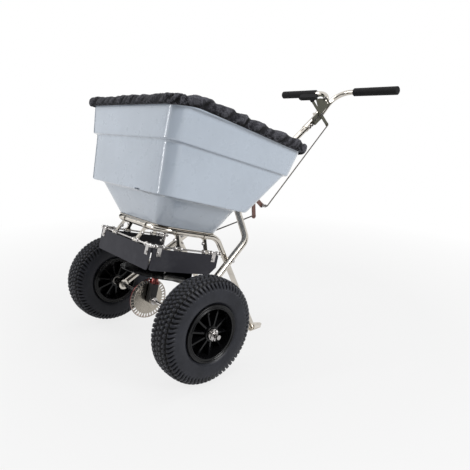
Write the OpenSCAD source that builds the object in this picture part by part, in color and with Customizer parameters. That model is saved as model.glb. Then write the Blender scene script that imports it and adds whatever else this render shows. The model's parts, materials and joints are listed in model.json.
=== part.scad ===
/* [Stance] */
// Backward lean of the machine when it stands on its feet, in degrees
rest_lean = 15; // [13:0.5:17]

/* [Wheels] */
// Outside diameter of a tyre
tyre_d = 330; // [310:5:345]
// Width of a tyre over its sidewalls
tyre_w = 95; // [90:1:100]
// Distance from an axle bearing out to the hub of its wheel
wheel_gap = 47; // [44:1:55]
// Outside diameter of the rim flanges
rim_d = 180; // [170:1:190]
// Width of a rim over its flanges
rim_w = 88; // [80:1:92]
// Number of spokes in a rim
spoke_count = 10; // [6:1:12]
// Diameter of a wheel hub
hub_d = 46; // [40:1:56]

/* [Drive] */
// Diameter of the axle
axle_d = 14; // [12:0.5:15]
// Length of the axle beyond its linch pins
axle_end = 15.5; // [12:0.5:25]
// Diameter of the upright impeller shaft
shaft_d = 12; // [10:0.5:13]
// Outside diameter of the slotted crown gear
gear_d = 142; // [138:1:150]
// Radius from the axle to the middle of the gear's slots
slot_ring_r = 62; // [61:0.5:63]
// Number of slots in the crown gear
gear_slots = 36; // [36:4:40]
// Width of a slot
slot_w = 6.2; // [6:0.1:6.4]
// Number of pinion teeth
pinion_teeth = 9; // [9:1:10]
// Diameter of the impeller disc
impeller_d = 250; // [220:2:260]
// Height of the impeller disc above the axle
impeller_z = 100; // [98:1:110]

/* [Frame] */
// Diameter of the tube under the hopper and its legs
loop_tube_d = 20; // [18:1:22]
// Diameter of the two side tubes
side_tube_d = 25; // [22:1:26]
// Wall of every frame tube
tube_wall = 1.5; // [1.2:0.1:2]
// Half the width of the loop under the hopper, at the tube's middle
loop_half_w = 134; // [128:1:138]
// Distance from the axle forward to the loop's front bar
loop_front = 120; // [115:1:128]
// Height of the loop above the axle
loop_z = 262; // [258:1:270]
// Distance from the axle back to the bend of a leg
leg_bend_y = 118; // [110:1:124]
// Slope of the legs below the level of the loop, in degrees
leg_slope = 49; // [47:0.5:51]
// Distance from the side of the loop out to an axle bearing
bearing_out = 70; // [67:1:76]

/* [Hopper] */
// Wall of the moulded hopper
hopper_wall = 4; // [3:0.5:5]
// Radius of the hopper's upright corners
corner_r = 45; // [35:1:55]
// Height of the rim above the axle
rim_z = 626; // [615:1:640]
// Height of the upper step above the axle
upper_step_z = 519; // [505:1:530]
// Height of the lower step above the axle
lower_step_z = 366; // [350:1:380]
// Width of the upper step
step_w = 10; // [7:0.5:12]
// Half the width of the hopper at the upper step
hopper_half_w = 250; // [240:1:258]
// Distance from the axle forward to the hopper at the upper step
hopper_front = 222; // [214:1:230]
// Distance from the axle back to the hopper at the upper step
hopper_back = 299; // [290:1:308]

/* [Handle] */
// Slope of the handle above the level of the loop, in degrees
mast_slope = 49.5; // [48:0.5:51]
// Diameter of the lower handle tube
mast_tube_d = 25; // [24:0.5:26]
// Outside diameter of the upper handle tube
sleeve_d = 30; // [29:0.5:32]
// Diameter of the handlebar tube
bar_tube_d = 22; // [20:0.5:22.2]
// Half the width of the handlebar
bar_half_w = 308; // [290:1:330]
// Distance along the handle from its foot to the handlebar
bar_along = 750; // [725:1:775]
// Rise of the handlebar above the line of the handle
bar_rise = 23; // [10:1:26]
// Diameter of a grip
grip_d = 34; // [30:1:38]
// Length of a grip
grip_l = 205; // [150:1:210]

/* [Controls] */
// Length of the lever from its pivot to its grip
lever_l = 111; // [100:1:116]
// Length of the lever from its pivot to the rod
lever_arm = 65; // [60:1:70]
// Length of the crank's arm to the lower rod
crank_arm = 83; // [76:1:86]
// Opening angle of the lever, in degrees
lever_swing = 34; // [28:1:35]
// Diameter of the control rods
rod_d = 5; // [4:0.5:6]
// Diameter of the ports in the hopper floor
port_d = 38; // [30:1:40]

/* [Deflectors] */
// Height of a deflector plate
flap_h = 68; // [60:1:70]
// Thickness of a deflector plate
flap_t = 3; // [2:0.5:4]
// Distance from the side of the loop out to a side deflector
flap_out = 26; // [24:1:30]
// Distance from the axle forward to the front deflector
flap_front = 148; // [146:1:154]
// Diameter of the hinge rods
flap_rod_d = 6; // [5:0.5:7]

/* [Cover] */
// Height of the cover's skirt below the rim
skirt_h = 17; // [12:1:25]
// Thickness of the padded cover
cover_t = 6; // [4:1:8]
// Rise of the cover above the rim
cover_rise = 18; // [10:1:25]

/* [Hidden] */
$fn = 96;

// Clearances
running = 0.05;
side_gap = 0.3;
eps = 0.01;

// A bend is a hair thicker than the straight runs, which end inside it
bend_grow = 0.1;
bend_lap = 1;
lap_per_radius = 0.08;

// Colours
hopper_blue = [0.70, 0.75, 0.80];
steel = [0.78, 0.75, 0.70];
bright = [0.86, 0.86, 0.86];
black = [0.10, 0.10, 0.11];
flap_grey = [0.17, 0.17, 0.19];
rubber = [0.13, 0.13, 0.14];
nylon = [0.90, 0.89, 0.85];
bronze = [0.45, 0.20, 0.18];
olive = [0.33, 0.33, 0.28];
brown = [0.42, 0.27, 0.23];

// Wheels and drive line
tyre_r = tyre_d / 2;
rim_r = rim_d / 2;
barrel_r = rim_r - 10;
barrel_wall = 4;
tyre_wall = 8;
web_t = 5;
spoke_t = 5;
bush_wall = 4;
bush_flange = 3;
hub_l = rim_w;
bearing_x = loop_half_w + bearing_out;
wheel_x = bearing_x + wheel_gap + hub_l / 2;
track = 2 * wheel_x;
axle_r = axle_d / 2;
bush_bore = axle_d + 2 * running;
collar_d = axle_d + 12;
washer_d = axle_d + 20;
washer_t = 2.5;
drive_pin_d = 6;
linch_d = 5;
linch_x = wheel_x + hub_l / 2 + bush_flange + washer_t + 10;
axle_l = 2 * (linch_x + axle_end);
valve_d = 9;
valve_l = 32;
tread_half = tyre_w * 0.31;
bead_in = tyre_w * 0.27;
bead_w = 9;
bead_h = 12;
lug_count = 36;
tread_depth = 4;

// Crown gear and pinion
plate_t = 2.5;
pinion_r = slot_ring_r * pinion_teeth / gear_slots;
gear_x = -pinion_r - plate_t / 2;
slot_l = 12;
tooth_l = 2.5;
tooth_in = 9;
tooth_root = 4;
tooth_tip = 3;
tooth_h = 8;
pinion_h = 24;
block_w = 22;
block_d = 26;
pinion_z = slot_ring_r - tooth_h / 2;
block_top = pinion_z - side_gap;

// Impeller and its shaft
shaft_top = 330;
shaft_bottom = 18;
impeller_t = 2.5;
vane_h = 22;
vane_count = 5;
bar_t = 5;
bar_top = impeller_z - 7;
hub_h = 34;
impeller_hub_d = 32;

// Hopper outlines as [half width, front, back]
lower_step_w = 28;
upper_out = [hopper_half_w, hopper_front, hopper_back];
top_out = upper_out + [10, 10, 26];
mid_top = upper_out - step_w * [1, 1, 1];
mid_low = upper_out - [13, 23, 146];
low_top = mid_low - lower_step_w * [1, 1, 1];
low_out = [loop_half_w + 8, loop_front, leg_bend_y];
plate_z = loop_z + (loop_tube_d + bend_grow) / 2;
base_t = 2;
floor_z = plate_z + base_t;
lip_w = 10;
lip_h = 12;
all_walls = [hopper_wall, hopper_wall, hopper_wall];
lip_out = top_out + [lip_w, lip_w, lip_w];

// Ports and gate
port_x = 40;
port_y = 28;
gate_t = 2.5;
gate_gap = 0.4;
gate_top = plate_z - gate_gap;
gate_half_w = 72;
gate_front = -22;
gate_back = 116;
crank_start = -70;
gate_travel = crank_arm * (cos(crank_start) - cos(crank_start - lever_swing));
rail_w = 8;
tab_w = 22;
drop_y = 186;
shaft_slot = 4;

// Side tubes run from the axle to an elbow and on to the foot of the handle
elbow_at = [loop_half_w + 11, 250, 272];
elbow_r = 60;
mast_foot = [0, 276.5, 389];
tube_meet = [20, 277, 389];
mast_dir = [0, cos(mast_slope), sin(mast_slope)];
mast_up = [0, -sin(mast_slope), cos(mast_slope)];
bracket_t = 4;
bracket_x = mast_tube_d / 2;
housing_d = 38;
housing_l = 24;

// Legs and feet
leg_dir = [0, cos(leg_slope), -sin(leg_slope)];
leg_bend_r = 55;
corner_bend_r = 50;
foot_t = 4;
foot_l = 78;
foot_w = 46;
leg_bolt_along = 90;

// Handle
sleeve_wall = (sleeve_d - mast_tube_d) / 2 - running;
sleeve_start = bar_along - 250;
sleeve_end = bar_along - 151;
yoke_t = 5;
bar_bend_r = 75;
bar_gap = 0.3;
bar_x = bar_tube_d / 2 + bar_gap;

// Lever, crank and rods lie in planes beside the handle
lever_rise = 15.5;
lever_pivot = mast_foot + (bar_along - 160) * mast_dir + lever_rise * mast_up;
control_x = bar_x + bar_tube_d / 2 + 1;
control_t = 3;
lever_t = 4;
lever_x = control_x + control_t + side_gap;
upper_rod_x = lever_x + lever_t + 2 + rod_d / 2;
crank_x = 2;
crank_t = 4;
lower_rod_x = crank_x - 2 - rod_d / 2;
pivot_d = 8;
lever_angle = 154.6;
lever_w = 18;
lever_low = lever_pivot + lever_arm * [0, -cos(lever_angle), -sin(lever_angle)];
crank_pin = [0, 437, 408];
crank_pivot = crank_pin - lever_arm * [0, -cos(lever_angle), -sin(lever_angle)];
crank_low = crank_pivot + crank_arm * [0, cos(crank_start), sin(crank_start)];
hook_z = gate_top - gate_t - 13;
hook_top = gate_top + 12;
stop_angle = 90;
stop_r = lever_l - 41;

// Deflectors
flap_half_w = loop_half_w + flap_out;
flap_rod_z = 212;
flap_top = flap_rod_z - 7;
flap_back = 120;
flap_side_front = flap_front - 5;
rod_end_gap = 8;
strap_w = 16;
strap_t = 2;
strap_l = 30;
strap_bolt_d = 5;
bracket_w = 12;

// Cover
cover_low = rim_z - skirt_h;
cover_in = lip_out + [side_gap, side_gap, side_gap];
cover_out = cover_in + [cover_t, cover_t, cover_t];

// The row stands with its box centred over the origin
bar_point = mast_foot + bar_along * mast_dir + bar_rise * mast_up;
front_y = -tyre_r;
rear_y = bar_point.y * cos(rest_lean) + bar_point.z * sin(rest_lean) + grip_d / 2;
shift_y = -(front_y + rear_y) / 2;

// Puts the machine's own axes, with the axle at their origin, into the standing pose
module machine() {
    translate([0, shift_y, tyre_r])
        rotate([-rest_lean, 0, 0])
            children();
}

function unit(v) = v / norm(v);

// Height above the ground of a point in the machine's axes
function ground_height(p) = p.z * cos(rest_lean) - p.y * sin(rest_lean) + tyre_r;

// Straight bar or tube between two points
module straight(a, b, d, wall = 0) {
    v = b - a;
    translate(a)
        rotate([0, acos(v.z / norm(v)), atan2(v.y, v.x)])
            difference() {
                cylinder(d = d, h = norm(v));
                if (wall > 0)
                    translate([0, 0, -1])
                        cylinder(d = d - 2 * wall, h = norm(v) + 2);
            }
}

function turn(a, b, c) = acos(unit(b - a) * unit(c - b));
function setback(a, b, c, r) = r * tan(turn(a, b, c) / 2);

// Round bend at point b of the line a, b, c
module elbow(a, b, c, r, d, wall = 0) {
    u = unit(b - a);
    w = unit(c - b);
    angle = turn(a, b, c);
    middle = b + unit(w - u) * r / cos(angle / 2);
    start = b - u * setback(a, b, c, r);
    x_axis = (start - middle) / r;
    z_axis = cross(x_axis, u);
    multmatrix([[x_axis.x, u.x, z_axis.x, middle.x],
                [x_axis.y, u.y, z_axis.y, middle.y],
                [x_axis.z, u.z, z_axis.z, middle.z],
                [0, 0, 0, 1]])
        rotate_extrude(angle = angle)
            translate([r, 0])
                difference() {
                    circle(d = d);
                    if (wall > 0)
                        circle(d = d - 2 * wall);
                }
}

// Bent tube through a list of points, with one bend radius for each inner point
module bent_tube(points, radii, d, wall = 0) {
    last = len(points) - 1;
    cut = [for (i = [0:last]) i == 0 || i == last ? 0
        : setback(points[i - 1], points[i], points[i + 1], radii[i - 1])
            - min(bend_lap, lap_per_radius * radii[i - 1])];
    for (i = [0:last - 1]) {
        way = unit(points[i + 1] - points[i]);
        straight(points[i] + way * cut[i], points[i + 1] - way * cut[i + 1], d, wall);
    }
    for (i = [1:last - 1])
        elbow(points[i - 1], points[i], points[i + 1], radii[i - 1], d + bend_grow,
            wall > 0 ? wall + bend_grow : 0);
}

// Cylinder whose axis lies along X, from x0 to x1
module cylinder_x(x0, x1, d) {
    translate([x0, 0, 0])
        rotate([0, 90, 0])
            cylinder(d = d, h = x1 - x0);
}

module tube_x(x0, x1, d, bore) {
    difference() {
        cylinder_x(x0, x1, d);
        cylinder_x(x0 - 1, x1 + 1, bore);
    }
}

// Flat piece cut from sheet in the Y-Z plane, from x to x + t
module sheet_x(x, t) {
    translate([x, 0, 0])
        rotate([90, 0, 90])
            linear_extrude(t)
                children();
}

module spin_x() {
    rotate([0, 90, 0])
        rotate([0, 0, 180])
            rotate_extrude()
                children();
}

// Rounded rectangle of the hopper at a height, for a hull
module outline(size, z, r, t = eps) {
    for (x = [-size[0] + r, size[0] - r], y = [-size[1] + r, size[2] - r])
        translate([x, y, z])
            cylinder(r = r, h = t, $fn = 32);
}

module tier(low, low_z, high, high_z, r) {
    hull() {
        outline(low, low_z, r);
        outline(high, high_z - eps, r);
    }
}

module hopper() {
    inner_r = corner_r - hopper_wall;
    color(hopper_blue)
        machine()
            difference() {
                union() {
                    tier(low_out, floor_z, low_top, lower_step_z, corner_r);
                    tier(mid_low, lower_step_z, mid_top, upper_step_z, corner_r);
                    tier(upper_out, upper_step_z, top_out, rim_z, corner_r);
                    tier(lip_out, rim_z - lip_h, lip_out, rim_z, corner_r + lip_w);
                }
                tier(low_out - all_walls, floor_z + hopper_wall, low_top - all_walls,
                    lower_step_z + hopper_wall + eps, inner_r);
                tier(mid_low - all_walls, lower_step_z + hopper_wall, mid_top - all_walls,
                    upper_step_z + hopper_wall + eps, inner_r);
                tier(upper_out - all_walls, upper_step_z + hopper_wall, top_out - all_walls,
                    rim_z + 1, inner_r);
                port_holes(floor_z - 1, hopper_wall + 2);
                translate([0, 0, floor_z - 1])
                    cylinder(d = shaft_d + 2 * bush_wall, h = hopper_wall + 2);
                hopper_bolt_places()
                    translate([0, 0, floor_z - 1])
                        cylinder(d = bolt_d, h = hopper_wall + 2);
            }
}

module port_holes(z, h) {
    for (side = [-1, 1])
        translate([side * port_x, port_y, z])
            cylinder(d = port_d, h = h);
}

bolt_d = 6;
module hopper_bolt_places() {
    for (x = [-1, 1] * (loop_half_w - 24), y = [-loop_front + 26, leg_bend_y - 40])
        translate([x, y, 0])
            children();
}

module base_plate() {
    color(steel)
        machine()
            difference() {
                translate([-low_out[0] - 3, -low_out[1] - 3, plate_z])
                    cube([2 * low_out[0] + 6, low_out[1] + low_out[2] + 6, base_t]);
                port_holes(plate_z - 1, base_t + 2);
                translate([0, 0, plate_z - 1])
                    cylinder(d = shaft_d + 2 * bush_wall, h = base_t + 2);
                hopper_bolt_places()
                    translate([0, 0, plate_z - 1])
                        cylinder(d = bolt_d, h = base_t + 2);
            }
}

// Two stepped rails that carry the gate under the base plate
module gate_guides() {
    color(steel)
        machine()
            for (side = [-1, 1])
                scale([side, 1, 1])
                    translate([0, leg_bend_y - 20, 0])
                        rotate([90, 0, 0])
                            linear_extrude(leg_bend_y + gate_travel)
                                translate([gate_half_w + gate_gap, plate_z - gate_t - 2 * gate_gap])
                                    union() {
                                        square([rail_w, gate_t + 2 * gate_gap]);
                                        translate([-rail_w, -2])
                                            square([2 * rail_w, 2]);
                                    }
}

module hopper_bolts() {
    color(bright)
        machine()
            hopper_bolt_places() {
                translate([0, 0, plate_z - 8])
                    cylinder(d = bolt_d, h = 8 + base_t + hopper_wall);
                translate([0, 0, floor_z + hopper_wall])
                    cylinder(d = 12, h = 4);
                translate([0, 0, plate_z - 5])
                    difference() {
                        cylinder(d = 11, h = 5, $fn = 6);
                        translate([0, 0, -1])
                            cylinder(d = bolt_d - eps, h = 7);
                    }
            }
}

function leg_bend(side) = [side * loop_half_w, leg_bend_y, loop_z];

// Length of a leg, so that its end meets the foot plate
leg_drop = sin(leg_slope + rest_lean);
leg_l = (ground_height(leg_bend(1)) - foot_t) / leg_drop;
function leg_end(side) = leg_bend(side) + leg_l * leg_dir;

// One tube: leg, side, front bar, side and leg
module frame_loop() {
    far = leg_end(-1) + 20 * leg_dir;
    near = leg_end(1) + 20 * leg_dir;
    color(steel)
        difference() {
            machine()
                bent_tube([far, leg_bend(-1), [-loop_half_w, -loop_front, loop_z],
                           [loop_half_w, -loop_front, loop_z], leg_bend(1), near],
                    [leg_bend_r, corner_bend_r, corner_bend_r, leg_bend_r], loop_tube_d, tube_wall);
            translate([-track, -tyre_d * 2, -tyre_d])
                cube([2 * track, tyre_d * 4, tyre_d + foot_t]);
            machine()
                leg_bolt_holes();
        }
}

function leg_bolt_at(side) = leg_bend(side) + leg_bolt_along * leg_dir;

module leg_bolt_holes() {
    for (side = [-1, 1])
        translate([0, leg_bolt_at(side).y, leg_bolt_at(side).z])
            cylinder_x(side > 0 ? 100 : -200, side > 0 ? 200 : -100, bolt_d);
}

// The plates lie flat on the ground, with a pointed tail behind each leg
module foot_plates() {
    color(steel)
        for (side = [-1, 1]) {
            at = leg_end(side);
            y = at.y * cos(rest_lean) + at.z * sin(rest_lean) + shift_y;
            translate([at.x, y, 0])
                linear_extrude(foot_t)
                    difference() {
                        polygon([[-foot_w / 2, -foot_l * 0.4], [foot_w / 2, -foot_l * 0.4],
                                 [foot_w / 2, foot_l * 0.3], [foot_w * 0.12, foot_l * 0.6],
                                 [-foot_w * 0.12, foot_l * 0.6], [-foot_w / 2, foot_l * 0.3]]);
                        translate([0, foot_l * 0.38])
                            circle(d = 7);
                    }
        }
}

module side_tube(side) {
    from = [side * (bearing_x - 4), 0, 0];
    bend = [side * elbow_at.x, elbow_at.y, elbow_at.z];
    meet = [side * tube_meet.x, tube_meet.y, tube_meet.z];
    past = meet + 20 * unit(meet - bend);
    color(steel)
        machine()
            difference() {
                bent_tube([from, bend, past], [elbow_r], side_tube_d, tube_wall);
                cylinder_x(-track, track, housing_d);
                translate([side > 0 ? -60 : -bracket_x - bracket_t, 0, 0])
                    cube([60 + bracket_x + bracket_t, 2 * elbow_at.y, 3 * elbow_at.z]);
                leg_bolt_holes();
            }
}

module side_tube_left() {
    side_tube(1);
}

module side_tube_right() {
    side_tube(-1);
}

// Distance of the side tube's middle from the machine's middle where the leg crosses it
function side_tube_x(z) = bearing_x - 4 - (bearing_x - 4 - elbow_at.x) * z / elbow_at.z;

module frame_bolts() {
    reach = side_tube_x(leg_bolt_at(1).z) + side_tube_d / 2 + 3;
    color(bright)
        machine()
            for (side = [-1, 1])
                scale([side, 1, 1])
                    translate([0, leg_bolt_at(1).y, leg_bolt_at(1).z]) {
                        cylinder_x(loop_half_w - loop_tube_d / 2 - 8, reach + 4, bolt_d);
                        cylinder_x(reach, reach + 4, 12);
                    }
}

// Bearing blocks welded to the lower ends of the side tubes
module bearing_housings() {
    color(steel)
        machine()
            for (side = [-1, 1])
                scale([side, 1, 1])
                    tube_x(bearing_x - housing_l / 2, bearing_x + housing_l / 2, housing_d,
                        bush_bore + 2 * bush_wall);
}

module flanged_bush(x, l, way) {
    tube_x(x, x + l, bush_bore + 2 * bush_wall, bush_bore);
    tube_x(way > 0 ? x + l : x - bush_flange, way > 0 ? x + l + bush_flange : x,
        bush_bore + 2 * bush_wall + 8, bush_bore);
}

module axle_bushes() {
    color(nylon)
        machine()
            for (side = [-1, 1])
                scale([side, 1, 1])
                    flanged_bush(bearing_x - housing_l / 2, housing_l, 1);
}

module axle() {
    color(bright)
        machine()
            difference() {
                cylinder_x(-axle_l / 2, axle_l / 2, axle_d);
                linch_holes();
                translate([-wheel_x - hub_l / 2 + 12, 0, 0])
                    translate([0, 0, -hub_d])
                        cylinder(d = drive_pin_d, h = 2 * hub_d);
                translate([gear_x - 22, 0, -20])
                    cylinder(d = linch_d, h = 40);
            }
}

module linch_holes() {
    for (side = [-1, 1])
        translate([side * linch_x, 0, -20])
            cylinder(d = linch_d, h = 40);
}

// Collars beside each bearing and washers outside each wheel
module axle_collars() {
    inner = bearing_x + housing_l / 2 + bush_flange + side_gap;
    hub_in = wheel_x - hub_l / 2 - bush_flange - side_gap;
    hub_out = wheel_x + hub_l / 2 + bush_flange + side_gap;
    color(bright)
        machine() {
            for (side = [-1, 1])
                scale([side, 1, 1]) {
                    tube_x(inner, hub_in, collar_d, axle_d);
                    tube_x(hub_out, hub_out + washer_t, washer_d, axle_d);
                }
            tube_x(block_w / 2 + side_gap, block_w / 2 + side_gap + 12, collar_d, axle_d);
        }
}

// Spring pins with a bow that closes round the end of the axle
module linch_pins() {
    bow_r = 15;
    color(bright)
        machine()
            for (side = [-1, 1])
                translate([side * linch_x, 0, 0]) {
                    translate([0, 0, -axle_r - 8])
                        cylinder(d = linch_d - eps, h = axle_d + 16);
                    translate([0, 0, axle_r + 6])
                        sphere(d = linch_d + 5, $fn = 32);
                    translate([0, 0, axle_r + 6])
                        rotate([0, 90, 0])
                            translate([bow_r, 0, 0])
                                rotate_extrude(angle = 150, $fn = 48)
                                    translate([-bow_r, 0])
                                        circle(d = 2.6);
                }
}

// Profile of a tyre from bead to bead, as radius against width
function tyre_point(t, grow) =
    let (w = tyre_w / 2 - grow, h = (tyre_r - rim_r + 8) / 2 - grow, c = cos(t), s = sin(t))
    [rim_r - 8 + h + grow + h * sign(s) * pow(abs(s), 0.62), w * sign(c) * pow(abs(c), 0.62)];

module tyre_profile(grow) {
    polygon([for (t = [-70:10:250]) tyre_point(t, grow)]);
}

// Cuts across the tread and notches in its shoulders
module tread_cuts() {
    groove = 5;
    shoulder = tyre_w * 0.4;
    for (i = [0:lug_count - 1])
        rotate([i * 360 / lug_count, 0, 0]) {
            translate([-tread_half, -groove / 2, tyre_r - tread_depth])
                cube([2 * tread_half, groove, 4 * tread_depth]);
            for (side = [-1, 1])
                rotate([180 / lug_count, 0, 0])
                    translate([side > 0 ? shoulder : -2 * shoulder, -groove / 2, tyre_r * 0.91])
                        cube([shoulder, groove, tyre_r * 0.1]);
        }
}

module tyre(side) {
    groove = 5;
    color(rubber)
        machine()
            translate([side * wheel_x, 0, 0])
                difference() {
                    spin_x()
                        tyre_section(groove);
                    tread_cuts();
                }
}

module tyre_section(groove) {
    difference() {
        union() {
            tyre_profile(0);
            for (y = [bead_in, -bead_in - bead_w])
                translate([barrel_r, y])
                    square([bead_h, bead_w]);
        }
        tyre_profile(tyre_wall);
        translate([0, -tyre_w])
            square([barrel_r, 2 * tyre_w]);
        translate([0, -bead_in])
            square([rim_r + 5, 2 * bead_in]);
        for (y = [-1, 1])
            scale([1, y])
                translate([0, bead_in + bead_w])
                    square([rim_r + side_gap, tyre_w]);
        for (y = [-1, 1])
            translate([tyre_r - tread_depth, y * tread_half / 2 - groove / 2])
                square([4 * tread_depth, groove]);
    }
}

module tyre_left() {
    tyre(1);
}

module tyre_right() {
    tyre(-1);
}

// Moulded rim: barrel, flanges, web, hub and raised spokes on both faces
module rim(side) {
    flange_t = 3;
    color(black)
        machine()
            translate([side * wheel_x, 0, 0]) {
                difference() {
                    union() {
                        spin_x()
                            polygon([[barrel_r - barrel_wall, -rim_w / 2], [rim_r - 4, -rim_w / 2],
                                     [rim_r, -rim_w / 2 + flange_t / 2], [rim_r - 4, -rim_w / 2 + flange_t],
                                     [barrel_r, -rim_w / 2 + flange_t + 4],
                                     [barrel_r, rim_w / 2 - flange_t - 4], [rim_r - 4, rim_w / 2 - flange_t],
                                     [rim_r, rim_w / 2 - flange_t / 2], [rim_r - 4, rim_w / 2],
                                     [barrel_r - barrel_wall, rim_w / 2]]);
                        cylinder_x(-web_t / 2, web_t / 2, 2 * barrel_r - barrel_wall);
                        cylinder_x(-hub_l / 2, hub_l / 2, hub_d);
                        for (i = [0:spoke_count - 1])
                            rotate([i * 360 / spoke_count, 0, 0])
                                spoke();
                    }
                    cylinder_x(-hub_l, hub_l, bush_bore + 2 * bush_wall);
                    if (side < 0)
                        translate([-hub_l / 2 + 12, 0, -hub_d])
                            cylinder(d = drive_pin_d, h = 2 * hub_d);
                    valve_place(side)
                        cylinder_x(-valve_l, valve_l, valve_d);
                }
            }
}

// Tapered rib that runs from the hub's face down to the barrel
module spoke() {
    rotate([0, 0, 90])
        translate([0, 0, -spoke_t / 2])
            linear_extrude(spoke_t)
                polygon([[hub_d / 2 - 6, -hub_l / 2 + 6], [barrel_r - 2, -rim_w / 2 + 20],
                         [barrel_r - 2, rim_w / 2 - 20], [hub_d / 2 - 6, hub_l / 2 - 6]]);
}

module valve_place(side) {
    rotate([180 / spoke_count + 90, 0, 0])
        translate([0, (barrel_r + hub_d / 2) / 2 + 8, 0])
            scale([side, 1, 1])
                children();
}

module rim_left() {
    rim(1);
}

module rim_right() {
    rim(-1);
}

module hub_bushes(side) {
    color(nylon)
        machine()
            translate([side * wheel_x, 0, 0])
                for (end = [-1, 1])
                    scale([end, 1, 1])
                        flanged_bush(hub_l / 2 - 22, 22, 1);
}

module hub_bushes_left() {
    hub_bushes(1);
}

module hub_bushes_right() {
    difference() {
        hub_bushes(-1);
        machine()
            translate([-wheel_x - hub_l / 2 + 12, 0, -hub_d])
                cylinder(d = drive_pin_d, h = 2 * hub_d);
    }
}

// Pin that locks the right wheel to the axle
module drive_pin() {
    color(bright)
        machine()
            translate([-wheel_x - hub_l / 2 + 12, 0, -hub_d / 2 - 2])
                cylinder(d = drive_pin_d - eps, h = hub_d + 4);
}

module valve(side) {
    color(black)
        machine()
            translate([side * wheel_x, 0, 0])
                valve_place(side) {
                    cylinder_x(-8, valve_l - 10, valve_d - eps);
                    cylinder_x(valve_l - 10, valve_l, valve_d - 2);
                }
}

module valve_left() {
    valve(1);
}

module valve_right() {
    valve(-1);
}

// Stamped disc with radial slots near its rim
module crown_gear() {
    color(steel)
        machine()
            difference() {
                cylinder_x(gear_x - plate_t / 2, gear_x + plate_t / 2, gear_d);
                cylinder_x(gear_x - plate_t, gear_x + plate_t, axle_d + 8);
                for (i = [0:gear_slots - 1])
                    rotate([i * 360 / gear_slots, 0, 0])
                        translate([gear_x - plate_t, -slot_w / 2, slot_ring_r - slot_l / 2])
                            cube([2 * plate_t, slot_w, slot_l]);
            }
}

// Flanged hub, pinned to the axle, that carries the crown gear
module gear_hub() {
    color(bronze)
        machine()
            difference() {
                union() {
                    cylinder_x(gear_x - 30, gear_x + plate_t / 2, axle_d + 8);
                    cylinder_x(gear_x - plate_t / 2 - 4, gear_x - plate_t / 2, axle_d + 26);
                }
                cylinder_x(gear_x - 40, gear_x + 10, axle_d);
                translate([gear_x - 22, 0, -30])
                    cylinder(d = linch_d, h = 60);
            }
}

// Cast block that holds the foot of the shaft square over the axle
module gear_block() {
    color(black)
        machine()
            difference() {
                union() {
                    translate([-block_w / 2, -block_d / 2, 0])
                        cube([block_w, block_d, block_top]);
                    cylinder_x(-block_w / 2, block_w / 2, block_d);
                }
                cylinder_x(-block_w, block_w, bush_bore);
                translate([0, 0, shaft_bottom - side_gap])
                    cylinder(d = shaft_d + 2 * running, h = 100);
            }
}

module impeller_shaft() {
    color(bright)
        machine()
            difference() {
                translate([0, 0, shaft_bottom])
                    cylinder(d = shaft_d, h = shaft_top - shaft_bottom);
                translate([0, -20, agitator_z])
                    rotate([-90, 0, 0])
                        cylinder(d = linch_d, h = 40);
                shaft_pin_hole();
            }
}

agitator_z = floor_z + hopper_wall + 22;
module shaft_pin_hole() {
    translate([0, 0, impeller_z + 24])
        rotate([0, 90, 0])
            cylinder(d = 4, h = 60, center = true);
}

module pinion() {
    color(bronze)
        machine()
            difference() {
                union() {
                    translate([0, 0, pinion_z])
                        cylinder(r = pinion_r - tooth_l - 1, h = pinion_h);
                    for (i = [0:pinion_teeth - 1])
                        rotate([0, 0, 180 + i * 360 / pinion_teeth])
                            translate([0, 0, pinion_z])
                                linear_extrude(tooth_h)
                                    polygon([[tooth_in, -tooth_root / 2], [pinion_r, -tooth_root / 2],
                                             [pinion_r + tooth_l, -tooth_tip / 2],
                                             [pinion_r + tooth_l, tooth_tip / 2],
                                             [pinion_r, tooth_root / 2], [tooth_in, tooth_root / 2]]);
                }
                translate([0, 0, pinion_z - 1])
                    cylinder(d = shaft_d, h = pinion_h + 2);
            }
}

module impeller() {
    color(black)
        machine()
            difference() {
                union() {
                    translate([0, 0, impeller_z])
                        cylinder(d = impeller_d, h = impeller_t);
                    translate([0, 0, impeller_z - 4])
                        cylinder(d = impeller_hub_d, h = hub_h + 4);
                    translate([0, 0, impeller_z - 1])
                        for (i = [0:vane_count - 1])
                            rotate([0, 0, i * 360 / vane_count])
                                vane();
                }
                translate([0, 0, impeller_z - 6])
                    cylinder(d = shaft_d, h = hub_h + 8);
                shaft_pin_hole();
            }
}

// Curved upright blade from the hub to the edge of the disc
module vane() {
    curve_r = impeller_d * 0.6;
    intersection() {
        translate([0, -curve_r, 0])
            difference() {
                cylinder(r = curve_r + 1.25, h = vane_h);
                translate([0, 0, -1])
                    cylinder(r = curve_r - 1.25, h = vane_h + 2);
            }
        translate([impeller_hub_d / 2 - 2, -impeller_d / 2, 0])
            cube([impeller_d / 2 - impeller_hub_d / 2 - 12, impeller_d / 2 + 2, vane_h]);
    }
}

// Bent wire that stirs the fill above the ports
module agitator() {
    reach = 62;
    tip = [0, reach + 8, agitator_z - 14];
    bend = [0, reach, agitator_z];
    color(bright)
        machine()
            bent_tube([[0, -tip.y, tip.z], [0, -bend.y, bend.z], bend, tip], [8, 8], linch_d - eps);
}

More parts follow.
